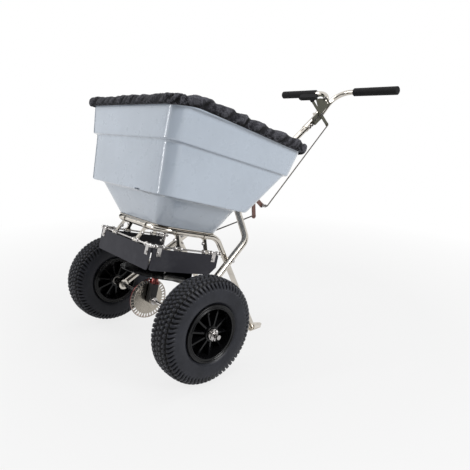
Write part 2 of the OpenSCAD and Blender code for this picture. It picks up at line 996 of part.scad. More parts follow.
// Flat bar that bridges the side tubes and holds the shaft under the impeller
module cross_bar() {
    bar_z = bar_top - bar_t;
    end_x = side_tube_x(bar_z);
    end_y = elbow_at.y * bar_z / elbow_at.z;
    arm_w = 11;
    color(steel)
        machine()
            difference() {
                translate([0, 0, bar_z])
                    union() {
                        cylinder(d = 44, h = bar_t);
                        linear_extrude(bar_t)
                            polygon([[-14, 15], [14, 15], [end_x, end_y + arm_w], [end_x, end_y - arm_w],
                                     [14, -15], [-14, -15], [-end_x, end_y - arm_w], [-end_x, end_y + arm_w]]);
                    }
                translate([0, 0, bar_z - 1])
                    cylinder(d = shaft_d + 2 * bush_wall, h = bar_t + 2);
                for (side = [-1, 1])
                    straight([side * (bearing_x - 4), 0, 0], [side * elbow_at.x, elbow_at.y, elbow_at.z],
                        side_tube_d);
            }
}

module shaft_bushes() {
    color(nylon)
        machine()
            difference() {
                union() {
                    translate([0, 0, bar_top - bar_t])
                        cylinder(d = shaft_d + 2 * bush_wall, h = bar_t);
                    translate([0, 0, bar_top - bar_t - 2])
                        cylinder(d = shaft_d + 2 * bush_wall + 8, h = 2);
                    translate([0, 0, plate_z])
                        cylinder(d = shaft_d + 2 * bush_wall, h = base_t + hopper_wall);
                    translate([0, 0, floor_z + hopper_wall])
                        cylinder(d = shaft_d + 2 * bush_wall + 8, h = 3);
                }
                cylinder(d = shaft_d + 2 * running, h = shaft_top);
            }
}

// Lower handle tube
module mast() {
    color(steel)
        machine()
            difference() {
                straight(mast_foot, mast_foot + (sleeve_end - 8) * mast_dir, mast_tube_d, tube_wall);
                handle_bolt_holes();
            }
}

bracket_bolts = [26, 56];
sleeve_bolts = [sleeve_start + 15, sleeve_start + 32];
module handle_bolt_holes() {
    for (s = concat(bracket_bolts, sleeve_bolts))
        translate(mast_foot + s * mast_dir)
            cylinder_x(-60, 60, bolt_d);
}

// Two cheek plates that join the side tubes to the foot of the handle
module mast_bracket() {
    color(steel)
        machine()
            difference() {
                for (side = [-1, 1])
                    scale([side, 1, 1])
                        sheet_x(bracket_x, bracket_t)
                            translate([mast_foot.y, mast_foot.z])
                                rotate(mast_slope)
                                    translate([-22, -22])
                                        square([90, 44]);
                handle_bolt_holes();
            }
}

module handle_bolts() {
    color(bright)
        machine() {
            for (s = bracket_bolts)
                translate(mast_foot + s * mast_dir)
                    bolt_x(bracket_x + bracket_t);
            for (s = sleeve_bolts)
                translate(mast_foot + s * mast_dir)
                    bolt_x(sleeve_d / 2);
        }
}

// Bolt along X with a round head and a nut outside two faces
module bolt_x(half) {
    cylinder_x(-half - 4, half + 4, bolt_d - eps);
    cylinder_x(half, half + 4, 12);
    rotate([0, 90, 0])
        translate([0, 0, -half - 5])
            cylinder(d = 11, h = 5, $fn = 6);
}

// Upper handle tube, which slides over the lower one and is bolted
module handle_sleeve() {
    color(steel)
        machine()
            difference() {
                straight(mast_foot + sleeve_start * mast_dir, mast_foot + sleeve_end * mast_dir,
                    sleeve_d, sleeve_wall);
                handle_bolt_holes();
            }
}

// Two tubes bent outwards from a yoke plate
module handlebar() {
    foot = mast_foot + (sleeve_end + yoke_t) * mast_dir;
    color(steel)
        machine() {
            for (side = [-1, 1])
                bent_tube([foot + [side * bar_x, 0, 0] - 3 * mast_dir, bar_point + [side * bar_x, 0, 0],
                           bar_point + [side * (bar_half_w - 3), 0, 0]], [bar_bend_r], bar_tube_d, tube_wall);
            translate(mast_foot + sleeve_end * mast_dir)
                rotate([mast_slope - 90, 0, 0])
                    translate([-bar_x - bar_tube_d / 2, -sleeve_d / 2, 0])
                        cube([2 * bar_x + bar_tube_d, sleeve_d, yoke_t]);
        }
}

module grip(side) {
    wall = (grip_d - bar_tube_d) / 2;
    color(black)
        machine()
            translate(bar_point)
                scale([side, 1, 1])
                    translate([bar_half_w, 0, 0])
                        spin_x()
                            polygon([[grip_d / 2 - wall, -grip_l], [grip_d / 2 - 2, -grip_l],
                                     [grip_d / 2, -grip_l + 3], [grip_d / 2, -3], [grip_d / 2 - 3, 0],
                                     [0, 0], [0, -3], [grip_d / 2 - wall, -3]]);
}

module grip_left() {
    grip(1);
}

module grip_right() {
    grip(-1);
}

// Plate with an arc slot for the rate stop, held off the handle by a spacer
module control_plate() {
    out_r = stop_r + 11;
    color(olive)
        machine() {
            difference() {
                sheet_x(control_x, control_t)
                    translate([lever_pivot.y, lever_pivot.z])
                        difference() {
                            union() {
                                sector(out_r, mast_slope, stop_angle + 44);
                                circle(d = 34);
                                rotate(mast_slope + 180)
                                    translate([0, -lever_hub / 2 - 2])
                                        square([plate_bolts[1] + 8, lever_hub + 4]);
                            }
                            difference() {
                                sector(stop_r + 3.5, mast_slope + 8, stop_angle + 36);
                                circle(r = stop_r - 3.5);
                            }
                        }
                translate(lever_pivot)
                    cylinder_x(0, 60, pivot_d);
                plate_bolt_places()
                    cylinder_x(0, 60, bolt_d);
            }
            difference() {
                sheet_x(sleeve_d / 2, control_x - sleeve_d / 2)
                    translate([lever_pivot.y, lever_pivot.z])
                        rotate(mast_slope + 180)
                            translate([-10, -8])
                                square([plate_bolts[1] + 16, lever_rise + 16]);
                translate(lever_pivot)
                    cylinder_x(0, 60, pivot_d);
                plate_bolt_places()
                    cylinder_x(0, 60, bolt_d);
                straight(mast_foot + sleeve_end * mast_dir, mast_foot + (sleeve_end + 40) * mast_dir, 60);
            }
        }
}

lever_hub = lever_w + 8;
plate_bolts = [lever_hub / 2 + 8, lever_hub / 2 + 27];
module plate_bolt_places() {
    for (s = plate_bolts)
        translate(lever_pivot - s * mast_dir)
            children();
}

module sector(r, from, to) {
    steps = 12;
    far = r * 1.2;
    intersection() {
        circle(r = r);
        polygon(concat([[0, 0]], [for (i = [0:steps])
            let (a = from + (to - from) * i / steps) far * [cos(a), sin(a)]]));
    }
}

// Bolt and wing nut clamped in the arc slot, with the lever's pivot and the plate's bolts
module rate_stop() {
    at = [lever_pivot.y + stop_r * cos(stop_angle), lever_pivot.z + stop_r * sin(stop_angle)];
    color(bright)
        machine() {
            translate([0, at[0], at[1]]) {
                cylinder_x(control_x, lever_x + lever_t + 6, bolt_d - eps);
                cylinder_x(control_x - 4, control_x, 12);
                cylinder_x(lever_x + lever_t, lever_x + lever_t + 6, 14);
            }
            translate(lever_pivot) {
                cylinder_x(sleeve_d / 2, lever_x + lever_t + side_gap, pivot_d);
                cylinder_x(lever_x + lever_t + side_gap, lever_x + lever_t + 5, pivot_d + 7);
            }
            plate_bolt_places() {
                cylinder_x(sleeve_d / 2, control_x + control_t, bolt_d - eps);
                cylinder_x(control_x + control_t, control_x + control_t + 3, 11);
            }
        }
}

// Straight bar from the grip through the pivot to the rod
module lever() {
    color(olive)
        machine()
            difference() {
                sheet_x(lever_x, lever_t)
                    translate([lever_pivot.y, lever_pivot.z])
                        rotate(lever_angle)
                            union() {
                                circle(d = lever_hub);
                                translate([0, -lever_w / 2 + 3])
                                    square([lever_l - 10, lever_w - 6]);
                                translate([-lever_arm, -lever_w / 2 + 2])
                                    square([lever_arm, lever_w - 4]);
                                translate([-lever_arm, 0])
                                    circle(d = lever_w - 1);
                            }
                translate(lever_pivot)
                    cylinder_x(0, 60, pivot_d + 2 * running);
                translate(lever_low)
                    cylinder_x(0, 60, rod_d + 2 * running);
            }
}

// Wide moulded handle across the end of the lever
module lever_grip() {
    grip_w = 92;
    slot_side = 0.05;
    color(black)
        machine()
            difference() {
                translate([lever_x + lever_t / 2 - grip_w * 0.6, lever_pivot.y, lever_pivot.z])
                    rotate([lever_angle, 0, 0])
                        translate([0, lever_l - 24, 0])
                            lever_grip_body(grip_w);
                sheet_x(lever_x - slot_side, lever_t + 2 * slot_side)
                    translate([lever_pivot.y, lever_pivot.z])
                        rotate(lever_angle)
                            translate([0, -lever_w / 2 + 3])
                                square([lever_l - 10, lever_w - 6]);
            }
}

module lever_grip_body(w) {
    for (end = [9, w - 9])
        translate([end, 16, 0])
            cylinder(d = 18, h = 18, center = true);
    translate([9, 7, -9])
        cube([w - 18, 18, 18]);
    translate([w * 0.6 - lever_t / 2, -4, -9])
        cube([14, 20, 18]);
}

// Rod with its ends turned in as pins
module upper_rod() {
    out = [upper_rod_x, 0, 0];
    color(bright)
        machine()
            bent_tube([lever_low + [lever_x - 2, 0, 0], lever_low + out, crank_pin + out,
                       crank_pin + [crank_x - 2, 0, 0]],
                [rod_d * 0.8, rod_d * 0.8], rod_d);
}

// Nut and ringed spacer on the end of the upper rod
module rod_nut() {
    start = crank_x + crank_t + 2;
    nut_h = 6;
    color(bright)
        machine()
            translate(crank_pin)
                difference() {
                    union() {
                        rotate([0, 90, 0])
                            translate([0, 0, start])
                                cylinder(d = 14, h = nut_h, $fn = 6);
                        cylinder_x(start + nut_h - 1, upper_rod_x - rod_d, rod_d + 4);
                        for (i = [0:3])
                            translate([start + nut_h + 1.5 + i * 3.5, 0, 0])
                                cylinder_x(0, 2, 13);
                    }
                    cylinder_x(0, 60, rod_d);
                }
}

module bell_crank() {
    color(brown)
        machine()
            difference() {
                union() {
                    for (p = [crank_pivot, crank_pin, crank_low])
                        translate([0, p.y, p.z])
                            cylinder_x(crank_x, crank_x + crank_t, p == crank_pivot ? 26 : 20);
                    for (end = [crank_pin, crank_low])
                        sheet_x(crank_x, crank_t)
                            link_2d(crank_pivot, end, 18);
                }
                translate(crank_pivot)
                    cylinder_x(0, 60, pivot_d + 2 * running);
                translate(crank_pin)
                    cylinder_x(0, 60, rod_d + 2 * running);
                translate(crank_low)
                    cylinder_x(0, 60, rod_d + 2 * running);
            }
}

// Straight-sided link between two points in the Y-Z plane
module link_2d(a, b, w) {
    v = b - a;
    translate([a.y, a.z])
        rotate(atan2(v.z, v.y))
            translate([0, -w / 2])
                square([norm(v), w]);
}

// Lug on the handle with the crank's pivot pin
module crank_bracket() {
    lug_x = bracket_x + bracket_t;
    color(steel)
        machine() {
            difference() {
                sheet_x(lug_x, 3)
                    union() {
                        translate([crank_pivot.y, crank_pivot.z])
                            circle(d = 24);
                        link_2d(mast_foot + bracket_bolts[1] * mast_dir, crank_pivot, 20);
                    }
                handle_bolt_holes_wide();
            }
            translate(crank_pivot) {
                cylinder_x(crank_x + crank_t + side_gap, lug_x + 3, pivot_d + 6);
                cylinder_x(crank_x - side_gap - 3, lug_x, pivot_d);
                cylinder_x(crank_x - side_gap - 3, crank_x - side_gap, pivot_d + 6);
            }
        }
}

module handle_bolt_holes_wide() {
    for (s = bracket_bolts)
        translate(mast_foot + s * mast_dir)
            cylinder_x(-60, 60, 13);
}

// Rod from the crank that turns up through the gate's tab
module lower_rod() {
    color(bright)
        machine()
            bent_tube([crank_low + [crank_x + crank_t + 2, 0, 0], crank_low + [lower_rod_x, 0, 0],
                       [lower_rod_x, drop_y, hook_z], [lower_rod_x, drop_y, hook_top]],
                [rod_d * 0.8, rod_d * 1.2], rod_d);
}

// Sliding plate that closes the ports
module gate() {
    slot_r = shaft_d / 2 + shaft_slot;
    color(bright)
        machine()
            translate([0, 0, gate_top - gate_t])
                linear_extrude(gate_t)
                    difference() {
                        union() {
                            translate([-gate_half_w, gate_front])
                                square([2 * gate_half_w, gate_back - gate_front]);
                            translate([lower_rod_x - tab_w / 2, gate_back - 1])
                                square([tab_w, drop_y - gate_back + 13]);
                        }
                        for (side = [-1, 1])
                            translate([side * port_x, port_y + gate_travel])
                                circle(d = port_d);
                        circle(r = slot_r);
                        translate([0, gate_travel])
                            circle(r = slot_r);
                        translate([-slot_r, 0])
                            square([2 * slot_r, gate_travel]);
                        translate([lower_rod_x, drop_y])
                            circle(d = rod_d + 2);
                    }
}

// Three fixed rods on which the deflectors swing
module hinge_rods() {
    long = flap_side_front - 2;
    color(bright)
        machine() {
            translate([0, -flap_front, flap_rod_z])
                cylinder_x(-flap_half_w + rod_end_gap, flap_half_w - rod_end_gap, flap_rod_d);
            for (side = [-1, 1])
                translate([side * flap_half_w, -long, flap_rod_z])
                    rotate([-90, 0, 0])
                        cylinder(d = flap_rod_d, h = long + flap_back + 4);
        }
}

// Ring on the loop tube, arm and ring on the hinge rod
module rod_bracket(run, drop) {
    arm = norm([run, drop]);
    top = loop_tube_d / 2 - side_gap;
    rotate([90, 0, 0])
        linear_extrude(bracket_w, center = true)
            difference() {
                union() {
                    circle(d = loop_tube_d + 6);
                    translate([run, -drop])
                        circle(d = flap_rod_d + 7);
                    rotate(-atan2(drop, run))
                        translate([0, -3])
                            square([arm, 6]);
                }
                circle(d = loop_tube_d);
                translate([-loop_tube_d, top])
                    square(2 * loop_tube_d);
                translate([run, -drop])
                    circle(d = flap_rod_d);
            }
}

module rod_brackets() {
    drop = loop_z - flap_rod_z;
    color(steel)
        machine() {
            for (side = [-1, 1]) {
                scale([side, 1, 1])
                    for (y = [-52, 62])
                        translate([loop_half_w, y, loop_z])
                            rod_bracket(flap_half_w - loop_half_w, drop);
                translate([side * 66, -loop_front, loop_z])
                    rotate([0, 0, -90])
                        rod_bracket(flap_front - loop_front, drop);
            }
        }
}

// Rubber deflector plate in its own plane, with u along the rod and v down
module flap_shape(half_l, cut) {
    r = 9;
    polygon(concat([[-half_l, 0], [half_l, 0]],
        cut > 0 ? [[half_l, flap_h - cut], [half_l - cut, flap_h]]
            : [for (a = [0:15:90]) [half_l - r + r * cos(a), flap_h - r + r * sin(a)]],
        [for (a = [90:15:180]) [-half_l + r + r * cos(a), flap_h - r + r * sin(a)]]));
}

strap_bolt_v = 14;
module flap_panel(half_l, strap_at, cut) {
    rotate([-90, 0, 0])
        linear_extrude(flap_t, center = true)
            difference() {
                translate([0, flap_rod_z - flap_top])
                    flap_shape(half_l, cut);
                for (u = strap_at)
                    translate([u, flap_rod_z - flap_top + strap_bolt_v])
                        circle(d = strap_bolt_d);
            }
}

// Strap that loops round the rod, with the bolt through the plate
module strap(u) {
    bolt_z = -(flap_rod_z - flap_top + strap_bolt_v);
    translate([u, 0, 0]) {
        rotate([90, 0, 90])
            linear_extrude(strap_w, center = true)
                difference() {
                    union() {
                        circle(r = flap_t / 2 + strap_t + 1.5);
                        translate([-flap_t / 2 - strap_t, -strap_l])
                            square([strap_t, strap_l]);
                        translate([-flap_t / 2, -(flap_rod_z - flap_top) + side_gap])
                            square([flap_t / 2, flap_rod_z - flap_top - side_gap - flap_rod_d / 2]);
                    }
                    circle(d = flap_rod_d + 2 * running);
                }
        translate([0, 0, bolt_z])
            rotate([90, 0, 0]) {
                translate([0, 0, -flap_t / 2 - 3])
                    cylinder(d = strap_bolt_d - eps, h = flap_t + strap_t + 3);
                translate([0, 0, flap_t / 2 + strap_t])
                    cylinder(d = 10, h = 2.5);
                translate([0, 0, -flap_t / 2 - 3])
                    cylinder(d = 9, h = 3, $fn = 6);
            }
    }
}

front_half = flap_half_w - 2;
side_half = (flap_side_front + flap_back) / 2;
side_mid = (flap_back - flap_side_front) / 2;
front_straps = [-front_half + 18, front_half - 18];
side_straps = [-side_half + 22, side_half - 22];
side_cut = 26;

module front_place() {
    machine()
        translate([0, -flap_front, flap_rod_z])
            children();
}

module side_place(side) {
    machine()
        scale([side, 1, 1])
            translate([flap_half_w, side_mid, flap_rod_z])
                rotate([0, 0, 90])
                    children();
}

module flap_front() {
    color(flap_grey)
        front_place()
            flap_panel(front_half, front_straps, 0);
}

module flap_left() {
    color(flap_grey)
        side_place(1)
            flap_panel(side_half, side_straps, side_cut);
}

module flap_right() {
    color(flap_grey)
        side_place(-1)
            flap_panel(side_half, side_straps, side_cut);
}

module straps_front() {
    color(bright)
        front_place()
            for (u = front_straps)
                strap(u);
}

module straps_left() {
    color(bright)
        side_place(1)
            for (u = side_straps)
                strap(u);
}

module straps_right() {
    color(bright)
        side_place(-1)
            for (u = side_straps)
                strap(u);
}

// Padded fabric cover with a skirt round the rim
module cover() {
    crown = cover_out - [36, 36, 36];
    wall = [cover_t, cover_t, cover_t];
    color([0.22, 0.22, 0.24])
        machine()
            difference() {
                hull() {
                    outline(cover_out, cover_low, corner_r + lip_w);
                    outline(cover_out, rim_z + cover_t, corner_r + lip_w);
                    outline(crown, rim_z + cover_rise, corner_r + lip_w);
                }
                hull() {
                    outline(cover_in, cover_low - 5, corner_r + lip_w);
                    outline(cover_in, rim_z + side_gap, corner_r + lip_w);
                    outline(crown - wall, rim_z + cover_rise - cover_t, corner_r + lip_w);
                }
            }
}

hopper();
base_plate();
gate_guides();
hopper_bolts();
frame_loop();
side_tube_left();
side_tube_right();
frame_bolts();
foot_plates();
bearing_housings();
axle_bushes();
cross_bar();
shaft_bushes();
gear_block();
mast();
mast_bracket();
handle_sleeve();
handle_bolts();
handlebar();
grip_left();
grip_right();
control_plate();
rate_stop();
crank_bracket();
hinge_rods();
rod_brackets();
axle();
crown_gear();
gear_hub();
axle_collars();
linch_pins();
tyre_right();
rim_right();
hub_bushes_right();
drive_pin();
valve_right();
tyre_left();
rim_left();
hub_bushes_left();
valve_left();
impeller_shaft();
pinion();
impeller();
agitator();
lever();
lever_grip();
upper_rod();
rod_nut();
bell_crank();
lower_rod();
gate();
flap_front();
flap_left();
flap_right();
straps_front();
straps_left();
straps_right();
cover();
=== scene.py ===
"""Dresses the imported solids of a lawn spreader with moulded, woven and metal finishes."""

import json
import math

import bmesh
import bpy
import numpy as np
from bpy.props import FloatProperty, FloatVectorProperty, IntProperty, PointerProperty
from mathutils import Matrix, Vector


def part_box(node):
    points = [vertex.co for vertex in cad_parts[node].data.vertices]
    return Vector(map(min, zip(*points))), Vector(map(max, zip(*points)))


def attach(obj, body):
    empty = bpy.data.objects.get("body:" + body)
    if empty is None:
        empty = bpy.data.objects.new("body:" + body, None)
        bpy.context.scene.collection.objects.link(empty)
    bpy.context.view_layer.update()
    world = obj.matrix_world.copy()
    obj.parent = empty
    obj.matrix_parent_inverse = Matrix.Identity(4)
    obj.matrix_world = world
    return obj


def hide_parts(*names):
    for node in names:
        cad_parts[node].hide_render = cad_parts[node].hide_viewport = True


bl_info = {
    "name": "Lawn spreader",
    "version": (1, 0, 0),
    "blender": (4, 5, 0),
    "location": "View3D > Sidebar > Spreader",
    "description": "Finishes and soft pieces of a walk-behind lawn spreader",
    "category": "Object",
}

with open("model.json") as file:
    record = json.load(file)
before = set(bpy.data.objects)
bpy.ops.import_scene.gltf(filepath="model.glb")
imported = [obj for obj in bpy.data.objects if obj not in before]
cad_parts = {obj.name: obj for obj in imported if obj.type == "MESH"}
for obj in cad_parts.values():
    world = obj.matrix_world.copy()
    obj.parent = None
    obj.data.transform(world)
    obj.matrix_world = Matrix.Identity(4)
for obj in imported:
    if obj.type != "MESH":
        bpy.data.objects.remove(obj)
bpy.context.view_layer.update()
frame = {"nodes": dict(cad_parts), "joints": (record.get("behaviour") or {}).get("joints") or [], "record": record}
AXLE = next(joint["pos_m"] for joint in frame["joints"] if joint["name"] == "axle_spin")
WHEELS = (("left", "left_wheel"), ("right", "axle_set"))  # each wheel's side and its body
LEAN = math.radians(15)  # how far the machine leans back as it stands

# Millimetres, in the machine's own axes
ROW = 14.5  # width of a row of tread blocks
LIP = (270, 242, 335)  # the hopper's lip as half width, front and back
LIP_CORNER = 55  # radius of its corners
LIP_Z, RIM_Z = 614, 626  # underside and top of the lip
LIP_MIDDLE = (LIP[2] - LIP[1]) / 2


def stand(points):
    """Points in the machine's own axes, with the axle at their origin, turned back by the lean and
    lifted onto the wheels. Millimetres go in and metres come out."""
    p = np.asarray(points, float) / 1000
    y, z = p[..., 1], p[..., 2]
    c, s = math.cos(LEAN), math.sin(LEAN)
    return np.stack([p[..., 0], y * c + z * s + AXLE[1], z * c - y * s + AXLE[2]], -1)


def lie(points):
    """The other way round: metres in the frame to millimetres in the machine's own axes."""
    p = np.asarray(points, float)
    y, z = p[..., 1] - AXLE[1], p[..., 2] - AXLE[2]
    c, s = math.cos(LEAN), math.sin(LEAN)
    return 1000 * np.stack([p[..., 0], y * c - z * s, y * s + z * c], -1)


# ---- Meshes ----


def grid_faces(rows, columns, close_rows=False, close_columns=False):
    """Four-sided faces over a grid of points numbered row by row. A closed direction joins its last
    line to its first."""
    index = np.arange(rows * columns).reshape(rows, columns)
    if close_rows:
        index = np.vstack([index, index[:1]])
    if close_columns:
        index = np.hstack([index, index[:, :1]])
    corners = [index[:-1, :-1], index[:-1, 1:], index[1:, 1:], index[1:, :-1]]
    return np.stack(corners, -1).reshape(-1, 4)


def make_piece(name, parts, material, body=None, weld=1e-6):
    """One smooth mesh from a list of (points, faces), with doubles merged and faces turned
    outwards."""
    points, faces, count = [], [], 0
    for p, f in parts:
        p = np.asarray(p, float).reshape(-1, 3)
        points.append(p)
        faces.append(np.asarray(f) + count)
        count += len(p)
    mesh = bpy.data.meshes.new(name)
    mesh.from_pydata(np.concatenate(points), [], np.concatenate(faces))
    work = bmesh.new()
    work.from_mesh(mesh)
    bmesh.ops.remove_doubles(work, verts=work.verts, dist=weld)
    bmesh.ops.dissolve_degenerate(work, edges=work.edges, dist=weld)
    bmesh.ops.recalc_face_normals(work, faces=work.faces)
    work.to_mesh(mesh)
    work.free()
    mesh.shade_smooth()
    piece = bpy.data.objects.new(name, mesh)
    bpy.context.scene.collection.objects.link(piece)
    mesh.materials.append(material)
    if body:
        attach(piece, body)
    return piece


def round_profile(profile, cut, steps=4):
    """Each inner corner of a line of stations becomes a quadratic curve, which starts and ends a
    distance cut before and after it, measured in the stations' first and fourth numbers."""
    p = np.asarray(profile, float)
    cut = np.broadcast_to(cut, len(p))
    out = [p[0]]
    for i in range(1, len(p) - 1):
        before, after = p[i - 1] - p[i], p[i + 1] - p[i]
        reach = [min(cut[i] / max(np.hypot(v[0], v[3]), 1e-9), 0.45) for v in (before, after)]
        a, b = p[i] + before * reach[0], p[i] + after * reach[1]
        t = np.linspace(0, 1, steps + 1)[:, None]
        out.extend((1 - t) ** 2 * a + 2 * t * (1 - t) * p[i] + t**2 * b)
    out.append(p[-1])
    return np.array(out)


def tub_points(stations, corner=10, side=6):
    """Rings of a tub. A station is (half width, front, back, height, corner radius). A ring is four
    quarter circles joined by straight sides, and stations run down the rows."""
    s = np.asarray(stations, float)
    half, front, back, z, r = (s[:, i, None, None] for i in range(5))
    quarter = np.arange(4)[None, :, None]
    angle = np.linspace(0, math.pi / 2, corner)[None, None, :] + quarter * math.pi / 2
    sx = np.where((quarter == 0) | (quarter == 3), 1, -1)
    x = sx * (half - r) + r * np.cos(angle)
    y = np.where(quarter < 2, back - r, r - front) + r * np.sin(angle)
    t = np.linspace(0, 1, side + 2)[None, None, 1:-1]
    lines = []
    for a in (x, y):
        end, start = a[:, :, -1:], np.roll(a, -1, 1)[:, :, :1]
        lines.append(np.concatenate([a, end + (start - end) * t], 2).reshape(len(s), -1))
    return np.stack([lines[0], lines[1], np.broadcast_to(s[:, 3, None], lines[0].shape)], -1)


def turned(profile, centre, axis, sides=20, ring=False):
    """A profile of (distance along the axis, radius) turned round it. It ends on the axis, or it is
    a ring's closed section. Millimetres in the machine's own axes go in."""
    p = np.asarray(profile, float)
    axis = np.asarray(axis, float) / np.linalg.norm(axis)
    across = np.cross(axis, [0.31, 0.87, 0.39])
    across /= np.linalg.norm(across)
    turn = np.linspace(0, 2 * math.pi, sides, endpoint=False)[None, :, None]
    spoke = np.cos(turn) * across + np.sin(turn) * np.cross(axis, across)
    points = np.asarray(centre, float) + p[:, 0, None, None] * axis + p[:, 1, None, None] * spoke
    return stand(points), grid_faces(len(p), sides, ring, True)


def smoothstep(low, high, value):
    """Nought below low, one above high, and a soft rise between: 3 t squared less 2 t cubed."""
    t = np.clip((value - low) / (high - low), 0, 1)
    return t * t * (3 - 2 * t)


def places_of(mesh):
    """The mesh's points, a row of x, y and z for each."""
    places = np.empty(len(mesh.vertices) * 3)
    mesh.vertices.foreach_get("co", places)
    return places.reshape(-1, 3)


def apply_modifiers(piece):
    """Puts what the modifiers make into the piece's own mesh, smooth but for its hard edges."""
    context = bpy.context
    context.view_layer.update()
    shown = piece.evaluated_get(context.evaluated_depsgraph_get())
    done = bpy.data.meshes.new_from_object(shown)
    piece.modifiers.clear()
    piece.data = done
    done.shade_smooth()
    done.set_sharp_from_angle(angle=math.radians(40))


def cut_away(piece, parts):
    """Takes closed shapes, each as points and faces, out of a piece."""
    cutter = make_piece(piece.name + "_cutter", parts, piece.data.materials[0])
    cut = piece.modifiers.new("cut", "BOOLEAN")
    cut.object, cut.solver = cutter, "EXACT"
    apply_modifiers(piece)
    bpy.data.objects.remove(cutter)


def billow(piece, held, growth, pressure, reach, frames=24):
    """Cloth that is cut larger than the shape it covers buckles into folds under a little air. What
    the weights hold stays put, and a step is bent by tanh so that no point moves further than
    reach."""
    scene = bpy.context.scene
    rest = places_of(piece.data)
    group = piece.vertex_groups.new(name="held")
    for weight in np.unique(held.round(1)):
        group.add(np.flatnonzero(held.round(1) == weight).tolist(), float(weight), "REPLACE")
    cloth = piece.modifiers.new("cloth", "CLOTH")
    air = cloth.settings
    air.quality, air.mass = 6, 0.12
    air.tension_stiffness = air.compression_stiffness = 12
    air.shear_stiffness, air.bending_stiffness = 4, 0.02
    air.vertex_group_mass, air.shrink_min = "held", -growth
    air.use_pressure, air.uniform_pressure_force = True, pressure
    air.effector_weights.gravity = 0
    cloth.point_cache.frame_end = frames
    for number in range(1, frames + 1):
        scene.frame_set(number)
    moved = places_of(piece.evaluated_get(bpy.context.evaluated_depsgraph_get()).data)
    scene.frame_set(1)
    piece.modifiers.clear()
    piece.vertex_groups.clear()
    step = moved - rest
    far = np.linalg.norm(step, axis=1, keepdims=True)
    step = step * np.tanh(far / reach) * reach / np.maximum(far, 1e-9)
    return rest + step


# ---- Materials ----


class Wire:
    """A shader socket on which Python's operators add Math nodes."""

    def __init__(self, finish, socket):
        self.finish, self.socket = finish, socket

    def math(self, operation, *values):
        return self.finish.node("ShaderNodeMath", {"operation": operation}, values)

    def __add__(self, other):
        return self.math("ADD", self, other)

    def __sub__(self, other):
        return self.math("SUBTRACT", self, other)

    def __rsub__(self, other):
        return self.math("SUBTRACT", other, self)

    def __mul__(self, other):
        return self.math("MULTIPLY", self, other)

    def __gt__(self, other):
        return self.math("GREATER_THAN", self, other)

    __radd__, __rmul__ = __add__, __mul__


class Finish:
    """The node tree of a material or a world, and the one method that adds its nodes."""

    def __init__(self, name, owner=None, **sockets):
        self.material = owner or bpy.data.materials.new(name)
        self.material.use_nodes = True
        self.tree = self.material.node_tree
        self.shader = self.tree.nodes["Background" if owner else "Principled BSDF"]
        self.set(**sockets)

    def set(self, **sockets):
        """Values or wires for the shader, with a space in a socket's name written as _."""
        for name, value in sockets.items():
            self.put(self.shader.inputs[name.replace("_", " ")], value)
        return self

    def put(self, socket, value):
        if isinstance(value, Wire):
            self.tree.links.new(value.socket, socket)
        elif socket.type == "RGBA" and len(value) == 3:
            socket.default_value = (*value, 1)
        else:
            socket.default_value = value

    def node(self, kind, settings=None, values=(), out=0):
        """Adds a node: its settings first, then the values or wires of its sockets, by place or by
        name."""
        new = self.tree.nodes.new(kind)
        for name, value in (settings or {}).items():
            setattr(new, name, value)
        pairs = values.items() if isinstance(values, dict) else enumerate(values)
        for key, value in pairs:
            self.put(new.inputs[key], value)
        return Wire(self, new.outputs[out])

    def vector(self, operation, *values, out="Vector"):
        return self.node("ShaderNodeVectorMath", {"operation": operation}, values, out)

    def place(self, scale=(1, 1, 1), source="Object"):
        """Where a point is on the piece, or on its own map."""
        where = self.node("ShaderNodeTexCoord", out=source)
        return self.node("ShaderNodeMapping", None, {"Vector": where, "Scale": scale})

    def noise(self, where, scale, detail=3.0, rough=0.55):
        return self.node("ShaderNodeTexNoise", None,
                         {"Vector": where, "Scale": scale, "Detail": detail, "Roughness": rough})

    def grey(self, value, low, high, dark=0.0, light=1.0):
        """Value mapped from low-high to dark-light and kept inside it."""
        return self.node("ShaderNodeMapRange", None, [value, low, high, dark, light])

    def mix(self, share, first, second):
        """The first colour where share is nought and the second where it is one."""
        return self.node("ShaderNodeMix", {"data_type": "RGBA"}, {0: share, 6: first, 7: second}, 2)

    def rays(self, *kinds):
        """One for rays of these kinds, and nought for the rest."""
        first, *rest = (self.node("ShaderNodeLightPath", out="Is " + kind + " Ray")
                        for kind in kinds)
        return sum(rest, first)

    def attribute(self, name):
        return self.node("ShaderNodeAttribute", {"attribute_name": name}, out="Fac")

    def bump(self, height, distance, strength=1.0):
        return self.node("ShaderNodeBump", None,
                         {"Height": height, "Distance": distance, "Strength": strength})


def shade(colour, factor):
    return tuple(min(1.0, c * factor) for c in colour)


def moulded(name, colour, rough, grain=0.0008, coat=0.0, gloss=0.12, specular=0.5):
    """Moulded plastic: slow change of tone, faint scuffs in the gloss and an orange-peel
    surface."""
    f = Finish(name, Coat_Weight=coat, Coat_Roughness=gloss, Specular_IOR_Level=specular)
    where = f.place()
    cloud, scuff = f.noise(where, 5, 4), f.noise(where, 28, 3, 0.5)
    f.set(Base_Color=f.mix(f.grey(cloud, 0.3, 0.7), shade(colour, 0.93), shade(colour, 1.04)),
          Roughness=f.grey(scuff, 0.3, 0.75, rough * 0.8, rough * 1.35),
          Normal=f.bump(f.noise(where, 11, 2) + f.noise(where, 90, 1) * 0.006, grain))
    return f.material


